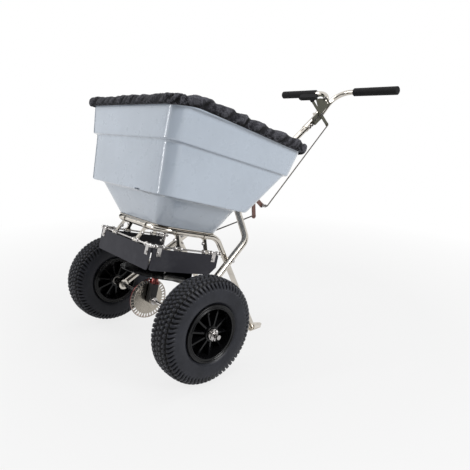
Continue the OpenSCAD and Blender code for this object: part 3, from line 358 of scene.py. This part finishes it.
def brushed(name, colour, rough, streak=(40, 40, 900), metal=1.0):
    """Drawn metal: fine streaks, cloudy handling marks and a little darkening."""
    f = Finish(name, Metallic=metal)
    lines = f.noise(f.place(streak), 1.0, 3, 0.6)
    marks = f.noise(f.place(), 28, 5, 0.65)
    tone = f.mix(f.grey(marks, 0.35, 0.7), shade(colour, 0.82), shade(colour, 1.06))
    f.set(Base_Color=f.mix(f.grey(lines, 0.4, 0.62, 0, 0.5), tone, shade(colour, 0.72)),
          Roughness=f.grey(marks + lines * 0.5, 0.5, 1.0, rough * 0.7, rough * 1.5),
          Normal=f.bump(lines, 0.0001, 0.3))
    return f.material


def edged(name, colour, edge, radius):
    """Drawn metal whose outer edge, beyond a radius from the axle, on the faces that don't look along the axle, is
    dark red.
    """
    f = Finish(name, Metallic=1.0)
    flat = f.vector("MULTIPLY", f.vector("SUBTRACT", f.place(), AXLE), (0, 1, 1))
    away = f.vector("LENGTH", flat, out="Value")
    facing = f.node("ShaderNodeTexCoord", out="Normal")
    along = f.vector("DOT_PRODUCT", facing, (1, 0, 0), out="Value")
    red_edge = (away > radius) * (1 - f.grey(along * along, 0.2, 0.6))
    marks = f.noise(f.place(), 45, 5, 0.7)
    tone = f.mix(f.grey(marks, 0.3, 0.7), shade(colour, 0.6), colour)
    f.set(Base_Color=f.mix(red_edge, tone, edge),
          Roughness=f.grey(marks, 0.3, 0.7, 0.16, 0.34), Normal=f.bump(marks, 0.0002, 0.4))
    return f.material


def rubber(name, colour, rough, dust=(0.16, 0.15, 0.14), amount=0.25):
    """Rubber with a bloom of dust in broad patches and fine pores."""
    f = Finish(name, Specular_IOR_Level=0.14)
    where = f.place()
    patch, pore = f.noise(where, 14, 6, 0.7), f.noise(where, 420, 2)
    f.set(Base_Color=f.mix(f.grey(patch, 0.45, 0.85, 0, amount), colour, dust),
          Roughness=f.grey(patch, 0.3, 0.8, rough * 0.85, min(1, rough * 1.2)),
          Normal=f.bump(pore, 0.0003, 0.4))
    return f.material


def tread_rubber(name, colour, rough):
    """Tyre rubber: painted shade darkens the gaps of the tread, and the tops of the blocks and the
    sidewall carry greyer worn patches, which also stand as painted highlight."""
    f = Finish(name, Specular_IOR_Level=0.22)
    where, relief = f.place(), f.attribute("relief")
    patch, pore = f.noise(where, 16, 6, 0.7), f.noise(where, 380, 2)
    # Worn patches, up to 1.8 times the colour, also stand as painted highlight on the block tops and sidewall.
    worn = f.mix(f.grey(patch, 0.35, 0.75), colour, shade(colour, 1.8))
    # Painted shade: the gaps between the blocks are darkened to 0.12 of the colour.
    f.set(Base_Color=f.mix(f.grey(relief, 0.25, 0.9), shade(colour, 0.12), worn),
          Roughness=f.grey(patch + relief * 0.2, 0.4, 0.9, rough * 1.15, rough * 0.85),
          Normal=f.bump(pore, 0.0003, 0.4))
    return f.material


def painted(name, colour, rough, bare=(0.5, 0.48, 0.45), wear=0.12):
    """Painted or plated sheet with small worn patches where the metal shows."""
    f = Finish(name)
    where = f.place()
    worn = f.grey(f.noise(where, 55, 6, 0.7), 0.66, 0.72) * wear
    cloud = f.noise(where, 20, 3)
    f.set(Base_Color=f.mix(worn, f.mix(cloud, shade(colour, 0.8), shade(colour, 1.15)), bare),
          Metallic=worn, Roughness=f.grey(cloud, 0.3, 0.7, rough * 0.8, rough * 1.25),
          Normal=f.bump(f.noise(where, 600, 2), 0.0001, 0.3))
    return f.material


def woven(name, colour, pale):
    """Coarse open weave from two crossed waves on the piece's own UV map, with bright slubs, a
    painted highlight that makes the ridges pale and painted shade that darkens the creases."""
    f = Finish(name, Roughness=0.9, Sheen_Weight=0.1, Sheen_Roughness=0.5,
               Specular_IOR_Level=0.12)
    cloth = f.place(source="UV")
    warp, weft = (f.node("ShaderNodeTexWave", {"bands_direction": way},
                         {"Vector": cloth, "Scale": 95}, "Fac") for way in "XY")
    slub, ridge = f.noise(f.place(), 190, 4, 0.8), f.attribute("ridge")
    weave = warp * weft
    # Paler with the real slubs and the weave, and on the ridges as painted highlight.
    worn = f.grey(slub + weave * 0.12 + ridge * 0.22, 0.58, 0.92)
    # Painted shade: the creases are darkened to 0.15 of the colour.
    dark = f.mix(f.grey(ridge, -0.7, 0.1), shade(colour, 0.15), colour)
    f.set(Base_Color=f.mix(worn, dark, pale), Normal=f.bump(weave + slub * 0.9, 0.0012, 0.8))
    return f.material


# ---- Settings shown in the sidebar ----


def colour_setting(name, default):
    return FloatVectorProperty(name=name, description="Colour of the " + name.lower(),
                               subtype="COLOR", min=0, max=1, default=default)


class SpreaderColours(bpy.types.PropertyGroup):
    """Colours of the visible materials"""

    hopper: colour_setting("Hopper", (0.480, 0.545, 0.630))
    tube: colour_setting("Tubes", (0.660, 0.620, 0.560))
    plated: colour_setting("Plated parts", (0.580, 0.560, 0.550))
    cover: colour_setting("Cover", (0.014, 0.014, 0.018))
    deflector: colour_setting("Deflectors", (0.036, 0.036, 0.044))
    tyre: colour_setting("Tyres", (0.017, 0.018, 0.023))
    moulding: colour_setting("Black mouldings", (0.006, 0.006, 0.007))


class SpreaderSizes(bpy.types.PropertyGroup):
    """Sizes of the pieces that are made here"""

    tread: FloatProperty(name="Tread depth", description="Height of the tread blocks",
                         unit="LENGTH", default=0.0065, min=0.001, max=0.01)
    blocks: IntProperty(name="Blocks", description="Tread blocks round the tyre",
                        default=66, min=20, max=90)
    slack: FloatProperty(name="Slack", description="Height of the loose folds in the cover",
                         unit="LENGTH", default=0.007, min=0, max=0.012)
    lamp: FloatProperty(name="Lamp power", description="Power that the lamps take their shares of",
                        unit="POWER", default=56.0, min=0, max=400)
    focal: FloatProperty(name="Focal length", description="Focal length of the camera",
                         unit="CAMERA", default=34.143, min=10, max=200)


def colours():
    return bpy.context.scene.spreader_colours


def sizes():
    return bpy.context.scene.spreader_sizes


# ---- Operators ----


class SPREADER_OT_stage(bpy.types.Operator):
    """Makes the camera, the lamps, the world and the floor"""

    bl_idname = "spreader.stage"
    bl_label = "Stage"
    bl_options = {"REGISTER", "UNDO"}

    def execute(self, context):
        self.place_camera(context)
        self.place_lamps(context)
        self.light_world(context)
        self.place_cards()
        self.lay_floor()
        context.scene.view_settings.view_transform = "Standard"
        return {"FINISHED"}

    def place_camera(self, context):
        """The camera's place and turn were solved in the machine's axes, so they are leaned back
        with it."""
        eye = (1269.0, -892.7, 381.6)
        azimuth, height, roll = (math.radians(v) for v in (46.059, 3.649, 12.540))
        back = Vector((math.sin(azimuth) * math.cos(height), -math.cos(azimuth) * math.cos(height),
                       math.sin(height)))
        right = Vector((0, 0, 1)).cross(back).normalized()
        up = back.cross(right)
        side = right * math.cos(roll) + up * math.sin(roll)
        top = up * math.cos(roll) - right * math.sin(roll)
        turn = Matrix((side, top, back)).transposed()
        data = bpy.data.cameras.new("camera")
        data.sensor_width, data.lens = 36, sizes().focal
        data.clip_start, data.clip_end = 0.05, 60
        camera = bpy.data.objects.new("camera", data)
        camera.matrix_world = (Matrix.Translation(stand(eye)) @ Matrix.Rotation(-LEAN, 4, "X")
                               @ turn.to_4x4())
        context.scene.collection.objects.link(camera)
        context.scene.camera = camera

    def place_lamps(self, context):
        """Lamps on both sides and one overhead leave the machine's near corner the darkest, and a
        tall narrow lamp draws the bright line down it. Each has a place, a width, a height and its
        share of the power, and looks at the machine's middle."""
        middle = Vector((0, 0, 0.45))
        lamps = (("front", (-2.3, -2.3, 2.5), 1.4, 1.8, 0.66),
                 ("side", (3.2, 0.5, 2.0), 1.4, 1.8, 1.38),
                 ("top", (0.2, 0.2, 3.4), 2.2, 2.2, 0.8),
                 ("strip", (-0.75, -2.9, 1.3), 0.14, 2.2, 0.40))
        for name, place, wide, high, share in lamps:
            data = bpy.data.lights.new(name, "AREA")
            data.shape, data.size, data.size_y = "RECTANGLE", wide, high
            data.energy = sizes().lamp * share
            lamp = bpy.data.objects.new(name, data)
            lamp.location = place
            lamp.rotation_euler = (middle - Vector(place)).to_track_quat("-Z", "Y").to_euler()
            context.scene.collection.objects.link(lamp)

    def light_world(self, context):
        """White to the camera and in a gloss, and a dim fill for the rest."""
        fill = 0.36
        world = bpy.data.worlds.new("studio")
        context.scene.world = world
        f = Finish("studio", world, Color=(1, 1, 1))
        f.set(Strength=f.grey(f.rays("Camera", "Glossy", "Transmission"), 0, 1, fill, 1))

    def place_cards(self):
        """Dark cards out of the camera's sight give metal and gloss their dark side. Each is a
        standing strip of a cylinder, from one angle round the machine to another."""
        away = 4.4
        dark = Finish("dark card", Base_Color=(0.03, 0.03, 0.03), Roughness=1.0,
                      Specular_IOR_Level=0.0)
        for name, start, end in (("near", 0, 72), ("far", -105, -70), ("right", 105, 150)):
            turn, height = np.meshgrid(np.radians(np.linspace(start, end, 9)), [0.1, 1.7, 3.3],
                                       indexing="ij")
            sheet = np.stack([away * np.sin(turn), -away * np.cos(turn), height], -1)
            card = make_piece("card_" + name, [(sheet, grid_faces(*turn.shape))], dark.material)
            card.visible_camera = False

    def lay_floor(self):
        """Flat sheet just under the wheels. What sees it directly or in a gloss sees it white, with
        the shadow kept near the machine."""
        half, drop = 9, 0.0005
        f = Finish("floor", Base_Color=(0.50, 0.50, 0.50), Roughness=0.9, Specular_IOR_Level=0.1)
        away = f.vector("LENGTH", f.place(), out="Value")
        share = f.rays("Camera", "Glossy", "Transmission") * f.grey(away, 0.8, 2.2, 0.80, 1)
        white = f.node("ShaderNodeEmission", None, {"Color": (1, 1, 1, 1), "Strength": 1.0})
        mixed = f.node("ShaderNodeMixShader", None,
                       [share, Wire(f, f.shader.outputs[0]), white])
        f.tree.links.new(mixed.socket, f.tree.nodes["Material Output"].inputs["Surface"])
        line = np.linspace(-half, half, 3)
        x, y = np.meshgrid(line, line, indexing="ij")
        sheet = np.stack([x, y, 0 * x - drop], -1)
        make_piece("floor", [(sheet, grid_faces(*x.shape))], f.material)


class SPREADER_OT_finishes(bpy.types.Operator):
    """Gives every solid of the frame its material"""

    bl_idname = "spreader.finishes"
    bl_label = "Finishes"
    bl_options = {"REGISTER", "UNDO"}

    def execute(self, context):
        """Each solid takes the material of its slot. The two thin rods are darker than the rest of
        the steel, and the gear's edge, its outer tenth, is red."""
        c = colours()
        soot = (0.012, 0.012, 0.013)
        by_slot = {
            "hopper_shell": moulded("hopper plastic", c.hopper, 0.3, 0.0022, 1.0, 0.07),
            "tube_steel": brushed("tube steel", c.tube, 0.14),
            "bright_steel": brushed("plated steel", c.plated, 0.2, (300, 300, 300)),
            "nylon": moulded("nylon", (0.62, 0.60, 0.55), 0.5),
            "black_casting": painted("black casting", soot, 0.4),
            "grip_rubber": rubber("grip rubber", soot, 0.75, amount=0.1),
            "olive_plate": painted("olive plate", (0.070, 0.070, 0.050), 0.4, wear=0.3),
            "red_bronze": brushed("red bronze", (0.34, 0.11, 0.10), 0.3, (200, 200, 200)),
            "tyre_rubber": tread_rubber("tyre rubber", c.tyre, 0.4),
            "black_moulding": moulded("black moulding", c.moulding, 0.22, specular=0.25),
            "impeller_plastic": moulded("impeller plastic", c.moulding, 0.2, specular=0.25),
            "brown_plate": painted("brown plate", (0.16, 0.085, 0.07), 0.5),
            "flap_rubber": rubber("deflector rubber", c.deflector, 0.55, (0.12, 0.12, 0.13), 0.4),
            "cover_fabric": woven("cover weave", c.cover, (0.13, 0.13, 0.15)),
        }
        slots = {part["node"]: part["material_slot"] for part in frame["record"]["subparts"]}
        for node, solid in frame["nodes"].items():
            solid.data.materials.clear()
            solid.data.materials.append(by_slot[slots[node]])
        rod = brushed("dark rod", (0.085, 0.075, 0.062), 0.4, (200, 200, 200), 0.6)
        for node in ("upper_rod", "lower_rod"):
            frame["nodes"][node].data.materials[0] = rod
        low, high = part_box("crown_gear")
        radius = (high[2] - low[2]) / 2
        gear = edged("gear plate", (0.50, 0.46, 0.40), (0.16, 0.015, 0.02), 0.9 * radius)
        frame["nodes"]["crown_gear"].data.materials[0] = gear
        return {"FINISHED"}


class SPREADER_OT_hopper(bpy.types.Operator):
    """Lays the moulded hopper with its soft steps and rolled rim, and the steel plate under it"""

    bl_idname = "spreader.hopper"
    bl_label = "Hopper"
    bl_options = {"REGISTER", "UNDO"}

    def execute(self, context):
        """Stations climb the outside, cross the rim and come down the inside, where each outline is
        a wall smaller and a wall higher. Ports, shaft and slot are then cut."""
        wall, corner, lip_w = 4, 45, 10
        floor_z, low_step_z, high_step_z = 274.05, 366, 519
        floor, low_top, middle_low = (142, 120, 118), (209, 171, 125), (237, 199, 153)
        middle_top, top_low, under_lip = (240, 212, 289), (250, 222, 299), (258.9, 230.9, 322.1)
        levels = [(floor, floor_z), (low_top, low_step_z), (middle_low, low_step_z),
                  (middle_top, high_step_z), (top_low, high_step_z)]
        outside = [(0, 0, 0, floor_z, 0)]
        outside += [(*outline, z, corner) for outline, z in levels]
        outside += [(*under_lip, LIP_Z, corner), (*LIP, LIP_Z, LIP_CORNER),
                    (*LIP, RIM_Z, LIP_CORNER)]
        inside = [(*np.subtract(LIP, wall + lip_w), RIM_Z, corner - wall)]
        inside += [(*np.subtract(outline, wall), z + wall, corner - wall)
                   for outline, z in levels[::-1]]
        inside.append((0, 0, 0, floor_z + wall, 0))
        rounding = [wall, wall, 9, 5, 9, 5, 6, 3, 3, 3, 4, 4, 5, 5, 6, 2]
        rings = tub_points(round_profile(outside + inside, rounding))
        shell = make_piece("hopper_moulding",
                           [(stand(rings), grid_faces(*rings.shape[:2], False, True))],
                           bpy.data.materials["hopper plastic"])
        bores = self.bores()
        cut_away(shell, bores + [self.step_slot()])
        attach(shell, "frame")
        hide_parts("hopper")
        self.lay_plate(bores)
        return {"FINISHED"}

    def bores(self):
        """Round cutters for the two ports and the shaft between them."""
        low, high = 270, 284
        holes = ((40, 28, 19), (-40, 28, 19), (0, 0, 10))
        return [turned([(0, 0), (0, radius), (high - low, radius), (high - low, 0)], (x, y, low),
                       (0, 0, 1), 48) for x, y, radius in holes]

    def step_slot(self):
        """Cutter for the small slot with round ends in the lower front step."""
        middle, start, height = 97, -187, 367.5
        half_w, half_h, deep, corner = 15, 3.5, 16, 3
        rings = tub_points([(0, 0, 0, 0, 0), (half_w, half_h, half_h, 0, corner),
                            (half_w, half_h, half_h, deep, corner), (0, 0, 0, deep, 0)], 5, 1)
        x, up, away = np.moveaxis(rings, -1, 0)
        points = np.stack([x + middle, start - away, up + height], -1)
        return stand(points), grid_faces(*x.shape, False, True)

    def lay_plate(self, bores):
        """The steel plate under the floor, with its corners rounded to the bends of the loop."""
        outline, corner, low, high = (145, 123, 121), 48, 272.05, 274.0
        rings = tub_points([(0, 0, 0, low, 0), (*outline, low, corner), (*outline, high, corner),
                            (0, 0, 0, high, 0)])
        plate = make_piece("base_plate_rounded",
                           [(stand(rings), grid_faces(*rings.shape[:2], False, True))],
                           bpy.data.materials["tube steel"])
        cut_away(plate, bores)
        plate.data.shade_flat()
        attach(plate, "frame")
        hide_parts("base_plate")


class SPREADER_OT_tyres(bpy.types.Operator):
    """Lays the two tyres with block tread and moulded sidewall rings"""

    bl_idname = "spreader.tyres"
    bl_label = "Tyres"
    bl_options = {"REGISTER", "UNDO"}

    def section(self):
        """A rounded box, whose half width and half height follow the cosine and sine raised to a
        power below one. Given with the distance along it, from the middle of the crown."""
        radius, low, width, power = 165.0, 82.0, 95.0, 0.62
        half = (radius - low) / 2
        turn = np.radians(np.linspace(-62, 242, 2401))
        c, s = np.cos(turn), np.sin(turn)
        section = np.stack([width / 2 * np.sign(c) * np.abs(c) ** power,
                            low + half + half * np.sign(s) * np.abs(s) ** power])
        reach = np.concatenate([[0], np.cumsum(np.hypot(*np.diff(section, axis=1)))])
        return section, reach - reach[-1] / 2

    def lines(self, end):
        """Distances across the tyre where the mesh has a line: five for each row of blocks, then
        close ones over the shoulder and wider ones down the sidewall."""
        rows = np.arange(-3.0, 3.5) * ROW
        edges = (rows[:, None] + ROW * np.array([-0.40, -0.26, 0, 0.26, 0.40])).ravel()
        shoulder = 3.2 * ROW
        edges = edges[np.abs(edges) < shoulder]
        steps = [3] * 4 + [2] * 3 + [3, 4] + [5] * 5 + [4, 4] + [3] * 6 + [4, 5, 5]
        beyond = shoulder + np.concatenate([[0], np.cumsum(steps)])
        beyond = beyond[beyond < end - 2]
        return np.concatenate([[-end], -beyond[::-1], edges, beyond, [end]])

    def tread(self, turn, across):
        """Height of the tread, from 0 in a gap to 1 on a block. Seven rows of blocks lie side by
        side, each row shifted half a block from the next. The outermost rows are lugs that run out
        over the shoulder. A block's edges are ramps."""
        row = np.clip(np.floor(across / ROW + 0.5), -3, 3)
        waver = 0.16 * np.sin(across / ROW * 2.6)
        along = (sizes().blocks * turn / (2 * math.pi) + row * 0.5 + waver) % 1
        block = 1 - smoothstep(0.50, 0.74, 2 * np.abs(along - 0.5))
        lug = (np.abs(row) == 3) & (np.abs(across) > 3 * ROW)
        gap = np.where(lug, 0, smoothstep(0.26, 0.40, np.abs(across / ROW - row)))
        return block * (1 - gap)

    def execute(self, context):
        """A tyre is its section turned about the axle. The tread is cut into it along its normal,
        a fine ring stands on the shoulder and one near the rim, and the bead rests on the rim."""
        barrel, bead, fine_ring, rim_ring = 80, (-30, -26, 26, 30.0), 5.15 * ROW, 99.5
        section, reach = self.section()
        across = self.lines(reach[-1])
        w, r = (np.interp(across, reach, line)[None, :] for line in section)
        slope_w, slope_r = (np.interp(across, reach, np.gradient(line, reach))[None, :]
                            for line in section)
        size = np.hypot(slope_w, slope_r)
        out_w, out_r = slope_r / size, -slope_w / size
        across = across[None, :]
        around = np.linspace(0, 2 * math.pi, sizes().blocks * 12 + 1)[:-1][:, None]
        blocks = self.tread(around, across)
        crown = 1 - smoothstep(3.7 * ROW, 4.7 * ROW, np.abs(across))
        lift = sizes().tread * 1000 * (blocks - 1) * crown
        lift = lift + np.exp(-((np.abs(across) - fine_ring) ** 2) / 2.2)
        lift = lift + 0.9 * np.exp(-((r - rim_ring) ** 2) / 3.0) * (np.abs(w) > 20)
        # Nought in the tread's gaps, where the material paints shade.
        relief = 1 - (1 - blocks) * crown
        bead = np.array([bead]) + 0 * around
        w = np.concatenate([w + out_w * lift, bead], 1)
        r = np.concatenate([r + out_r * lift, 0 * bead + barrel], 1)
        relief = np.concatenate([relief, 0 * bead], 1)
        place = np.stack([w, r * np.cos(around), r * np.sin(around)], -1)
        for side, body in WHEELS:
            low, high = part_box("tyre_" + side)
            x = (low[0] + high[0]) * 500
            points = stand(place * [math.copysign(1, x), 1, 1] + [x, 0, 0])
            tyre = make_piece("tyre_" + side + "_treaded",
                              [(points, grid_faces(*w.shape, True, True))],
                              bpy.data.materials["tyre rubber"], body)
            height = tyre.data.attributes.new("relief", "FLOAT", "POINT")
            height.data.foreach_set("value", relief.ravel())
            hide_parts("tyre_" + side)
        return {"FINISHED"}


class SPREADER_OT_fittings(bpy.types.Operator):
    """Adds the collars, caps and nuts on the deflectors' rods"""

    bl_idname = "spreader.fittings"
    bl_label = "Rod fittings"
    bl_options = {"REGISTER", "UNDO"}

    def execute(self, context):
        """Collars are short sleeves with a groove, one on each side of every arm and strap. Caps
        are domes on the rods' ends. Nuts have six sides and sit on the arms. A rod has a middle, a
        direction, a half length, and the places of its arms and of its straps."""
        collar = [(-3.4, 3.0), (-3.4, 6.6), (-2.6, 7.2), (-0.6, 7.2), (0, 6.2), (0.6, 7.2),
                  (2.6, 7.2), (3.4, 6.6), (3.4, 3.0)]
        cap = [(-1, 0), (-1, 5.6), (1, 6.0), (3, 5.7), (5, 4.4), (6.4, 2.2), (6.8, 0)]
        nut = [(-0.5, 0), (-0.5, 5.6), (3.6, 5.6), (4.4, 4.6), (4.4, 0)]
        rod_z, front_y, side_x, side_y = 212, -148, 160, -8.5
        by_arm, by_strap = 10.2, 12.5
        front_arm, side_arms, arm_side, nut_z = 66, (-52, 62), 6.2, 237
        rods = [((0, front_y, rod_z), (1, 0, 0), 158, (-front_arm, front_arm), (-140, 140))]
        rods += [((side * side_x, side_y, rod_z), (0, 1, 0), 133,
                  [y - side_y for y in side_arms], (-112.5, 106.5)) for side in (-1, 1)]
        parts = []
        for middle, axis, half, arms, straps in rods:
            middle, axis = np.array(middle, float), np.array(axis, float)
            places = [at + way * by_arm for at in arms for way in (-1, 1)]
            places += [at + way * by_strap for at in straps for way in (-1, 1)]
            parts += [turned(collar, middle + place * axis, axis, ring=True) for place in places]
            parts += [turned(cap, middle + end * (half - 0.5) * axis, end * axis)
                      for end in (-1, 1)]
        for side in (-1, 1):
            parts += [turned(nut, (side * 147, y - arm_side, nut_z), (0, -1, 0), 6)
                      for y in side_arms]
            parts.append(turned(nut, (side * front_arm + arm_side, -134, nut_z), (1, 0, 0), 6))
        fittings = make_piece("rod_fittings", parts, bpy.data.materials["plated steel"], "frame",
                              1e-5)
        return {"FINISHED"}


class SPREADER_OT_rim_lips(bpy.types.Operator):
    """Adds the two raised lips, with a groove between them, on both faces of each rim"""

    bl_idname = "spreader.rim_lips"
    bl_label = "Rim lips"
    bl_options = {"REGISTER", "UNDO"}

    def execute(self, context):
        """One closed section, as distance from the rim's face and radius, turned round the axle."""
        lip = [(-1.5, 76.3), (1.6, 76.3), (3.0, 77.2), (3.0, 78.6), (1.6, 79.6), (0.3, 80.2),
               (0.3, 84.4), (2.2, 85.4), (3.2, 87.0), (2.4, 88.8), (0.4, 90.0), (-1.0, 89.0),
               (-1.5, 86.0)]
        for side, body in WHEELS:
            low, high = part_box("rim_" + side)
            parts = [turned(lip, (x * 1000, 0, 0), (way, 0, 0), 96, True)
                     for x, way in ((high[0], 1), (low[0], -1))]
            piece = make_piece("rim_" + side + "_lips", parts,
                               bpy.data.materials["black moulding"], body)
        return {"FINISHED"}


class SPREADER_OT_cover(bpy.types.Operator):
    """Stretches the fabric cover over the rim, with slanted folds and a gathered hem"""

    bl_idname = "spreader.cover"
    bl_label = "Cover"
    bl_options = {"REGISTER", "UNDO"}

    def folds(self, x, y, level):
        """Slanted overlapping folds near the rim: each rises slowly and drops steeply, one pitch
        from the next along the sides and shallower along the front and back. They lean with the
        way down the skirt, and are calmer towards the back."""
        pitch, slant = 82, 170
        sides = smoothstep(225, 262, np.abs(x))
        along = np.where(sides > 0.5, y + 0.5 * np.abs(x), x * 1.35)
        lean = along + slant * (level - 0.85) + 16 * np.sin(y / 47) + 10 * np.sin(x / 38)
        step = (lean / pitch) % 1
        fold = smoothstep(0, 0.8, step) * (1 - smoothstep(0.86, 1, step))
        crumple = np.sin(lean / 7.3 + 2 * np.sin(y / 19)) * np.sin((x - y) / 31)
        calm = 1 - 0.45 * smoothstep(120, 330, y)
        return fold * (0.45 + 0.5 * sides) * calm + 0.16 * crumple

    def lay(self):
        """Rings of the cloth, from the middle of a low crown out to the rim and down and under the
        skirt, which is half an ellipse. Along the sides it rides higher, less so towards the back
        and at the hem. The folds lift the top and push the skirt out."""
        edge_z, crown, skirt_out, skirt_down = 634, 12, 8.5, 13.5
        rim = np.array([*np.subtract(LIP, 2), 0, LIP_CORNER - 1.0])
        share = np.linspace(0.01, 1, 34)[:, None] ** 0.8
        top = rim * share
        top[:, 3] = edge_z + crown * (1 - share[:, 0] ** 4)
        turn = np.radians(np.linspace(14, 178, 11))
        skirt = rim + (skirt_out * np.sin(turn))[:, None] * [1, 1, 1, 0, 1]
        skirt[:, 3] = edge_z - skirt_down * (1 - np.cos(turn))
        rings = tub_points(np.vstack([top, skirt]), 26, 78)
        x, y = rings[..., 0], rings[..., 1]
        level = np.linspace(0, 1, len(rings))[:, None]
        slack = sizes().slack * 1000
        edge = smoothstep(0.3, 0.75, level) * (1 - smoothstep(0.90, 0.99, level))
        fold = self.folds(x, y, level) * edge * slack
        length = np.maximum(np.hypot(x, y), 1)
        side, hem = smoothstep(0.76, 0.84, level), smoothstep(0.82, 1, level)
        sides, back = smoothstep(215, 266, np.abs(x)), smoothstep(-240, 333, y)
        sides = sides * smoothstep(-250, -150, y)
        ride = (15 - 4 * back) * (1 - hem) + (12 - 11 * back) * hem
        high = sides * smoothstep(0.2, 0.76, level) * ride
        return rings + np.stack([x / length * fold * side, y / length * fold * side,
                                 fold * (1 - 0.6 * side) - 0.4 * slack * edge + high], -1)

    def weave(self, mesh, places):
        """The map of the weave is seen half from above and half from the side: x plus height, and
        y plus height."""
        corners = np.empty(len(mesh.loops), int)
        mesh.loops.foreach_get("vertex_index", corners)
        layer = mesh.uv_layers.new(name="weave")
        layer.data.foreach_set("uv", (places[corners, :2] + places[corners, 2:]).ravel())

    def blow(self, cloth, places, hem):
        """The cloth billows where it is loose, near the rim, and is held at its hem."""
        half_w, half_l, growth, pressure, reach = 268, 287, 0.07, 3.0, 0.004
        x, y, _ = lie(places).T
        seam = np.arange(len(places)) >= len(places) - hem
        away = np.maximum(np.abs(x) / half_w, np.abs(y - LIP_MIDDLE) / half_l)
        loose = smoothstep(0.6, 0.86, away)
        held = np.maximum(seam, 0.9 - 0.9 * loose)
        blown = billow(cloth, held, growth, pressure, reach)
        return places + (blown - places) * loose[:, None]

    def clear_of_lip(self, places):
        """Moves points out, along the corner's radius or square to a side, until they are outside
        the hopper's lip by a clearance. The distance is that to a rectangle with round corners."""
        clearance = 1.2
        half, front, back = LIP
        flat = lie(places)
        x, y, z = flat.T
        flat_x = np.abs(x) - (half - LIP_CORNER)
        flat_y = np.abs(y - LIP_MIDDLE) - ((front + back) / 2 - LIP_CORNER)
        over_x, over_y = np.maximum(flat_x, 0), np.maximum(flat_y, 0)
        reach = np.hypot(over_x, over_y)
        gap = reach + np.minimum(np.maximum(flat_x, flat_y), 0) - LIP_CORNER
        beside = smoothstep(LIP_Z - 5, LIP_Z, z) * (1 - smoothstep(RIM_Z, RIM_Z + 4, z))
        push = np.maximum(clearance - gap, 0) * beside * (gap > -20) / np.maximum(reach, 1e-6)
        out = [push * over_x * np.sign(x), push * over_y * np.sign(y - LIP_MIDDLE), 0 * push]
        return stand(flat + np.stack(out, -1))

    def mark_ridges(self, mesh, places):
        """Keeps how far each point stands above the mean of those round it, along its normal, for
        the material, which paints shade into the creases and a highlight onto the ridges from it: 1 on
        a ridge and -1 in a crease."""
        full = 0.0012
        edges = np.empty(len(mesh.edges) * 2, int)
        mesh.edges.foreach_get("vertices", edges)
        ends = np.concatenate([edges.reshape(-1, 2), edges.reshape(-1, 2)[:, ::-1]])
        count = np.bincount(ends[:, 0], minlength=len(places))[:, None]
        mean = places
        for _ in range(3):
            sums = [np.bincount(ends[:, 0], mean[ends[:, 1], axis]) for axis in range(3)]
            mean = np.stack(sums, -1) / count
        normals = np.empty(len(places) * 3)
        mesh.vertex_normals.foreach_get("vector", normals)
        ridge = ((places - mean) * normals.reshape(-1, 3)).sum(1) / full
        height = mesh.attributes.new("ridge", "FLOAT", "POINT")
        height.data.foreach_set("value", np.clip(ridge, -1, 1))

    def execute(self, context):
        """The cloth is laid in rings round a closed middle, blown, moved clear of the lip and given
        its thickness."""
        rings = self.lay()
        pole = np.stack([rings[0].mean(0)] * rings.shape[1])[None]
        points = np.concatenate([pole, rings])
        cloth = make_piece("cover_cloth",
                           [(stand(points), grid_faces(*points.shape[:2], False, True))],
                           bpy.data.materials["cover weave"])
        places = places_of(cloth.data)
        self.weave(cloth.data, places)
        places = self.blow(cloth, places, 2 * rings.shape[1])
        places = self.clear_of_lip(places)
        cloth.data.vertices.foreach_set("co", places.ravel())
        cloth.data.update()
        self.mark_ridges(cloth.data, places)
        thick = cloth.modifiers.new("thickness", "SOLIDIFY")
        thick.thickness, thick.offset = 0.0012, -1
        apply_modifiers(cloth)
        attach(cloth, "cover")
        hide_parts("cover")
        return {"FINISHED"}


STEPS = (SPREADER_OT_stage, SPREADER_OT_finishes, SPREADER_OT_hopper, SPREADER_OT_tyres,
         SPREADER_OT_fittings, SPREADER_OT_rim_lips, SPREADER_OT_cover)


class SPREADER_PT_panel(bpy.types.Panel):
    """Lists the steps and their settings"""

    bl_label = "Lawn spreader"
    bl_space_type = "VIEW_3D"
    bl_region_type = "UI"
    bl_category = "Spreader"

    def draw(self, context):
        for step in STEPS:
            self.layout.operator(step.bl_idname)
        for group in (context.scene.spreader_colours, context.scene.spreader_sizes):
            for name in group.bl_rna.properties.keys():
                if name not in ("rna_type", "name"):
                    self.layout.prop(group, name)


CLASSES = (SpreaderColours, SpreaderSizes, *STEPS, SPREADER_PT_panel)


def register():
    for one in CLASSES:
        bpy.utils.register_class(one)
    bpy.types.Scene.spreader_colours = PointerProperty(type=SpreaderColours)
    bpy.types.Scene.spreader_sizes = PointerProperty(type=SpreaderSizes)


def unregister():
    del bpy.types.Scene.spreader_sizes
    del bpy.types.Scene.spreader_colours
    for one in reversed(CLASSES):
        bpy.utils.unregister_class(one)


def main():
    register()
    for step in STEPS:
        group, name = step.bl_idname.split(".")
        getattr(getattr(bpy.ops, group), name)()


if __name__ == "__main__":
    main()
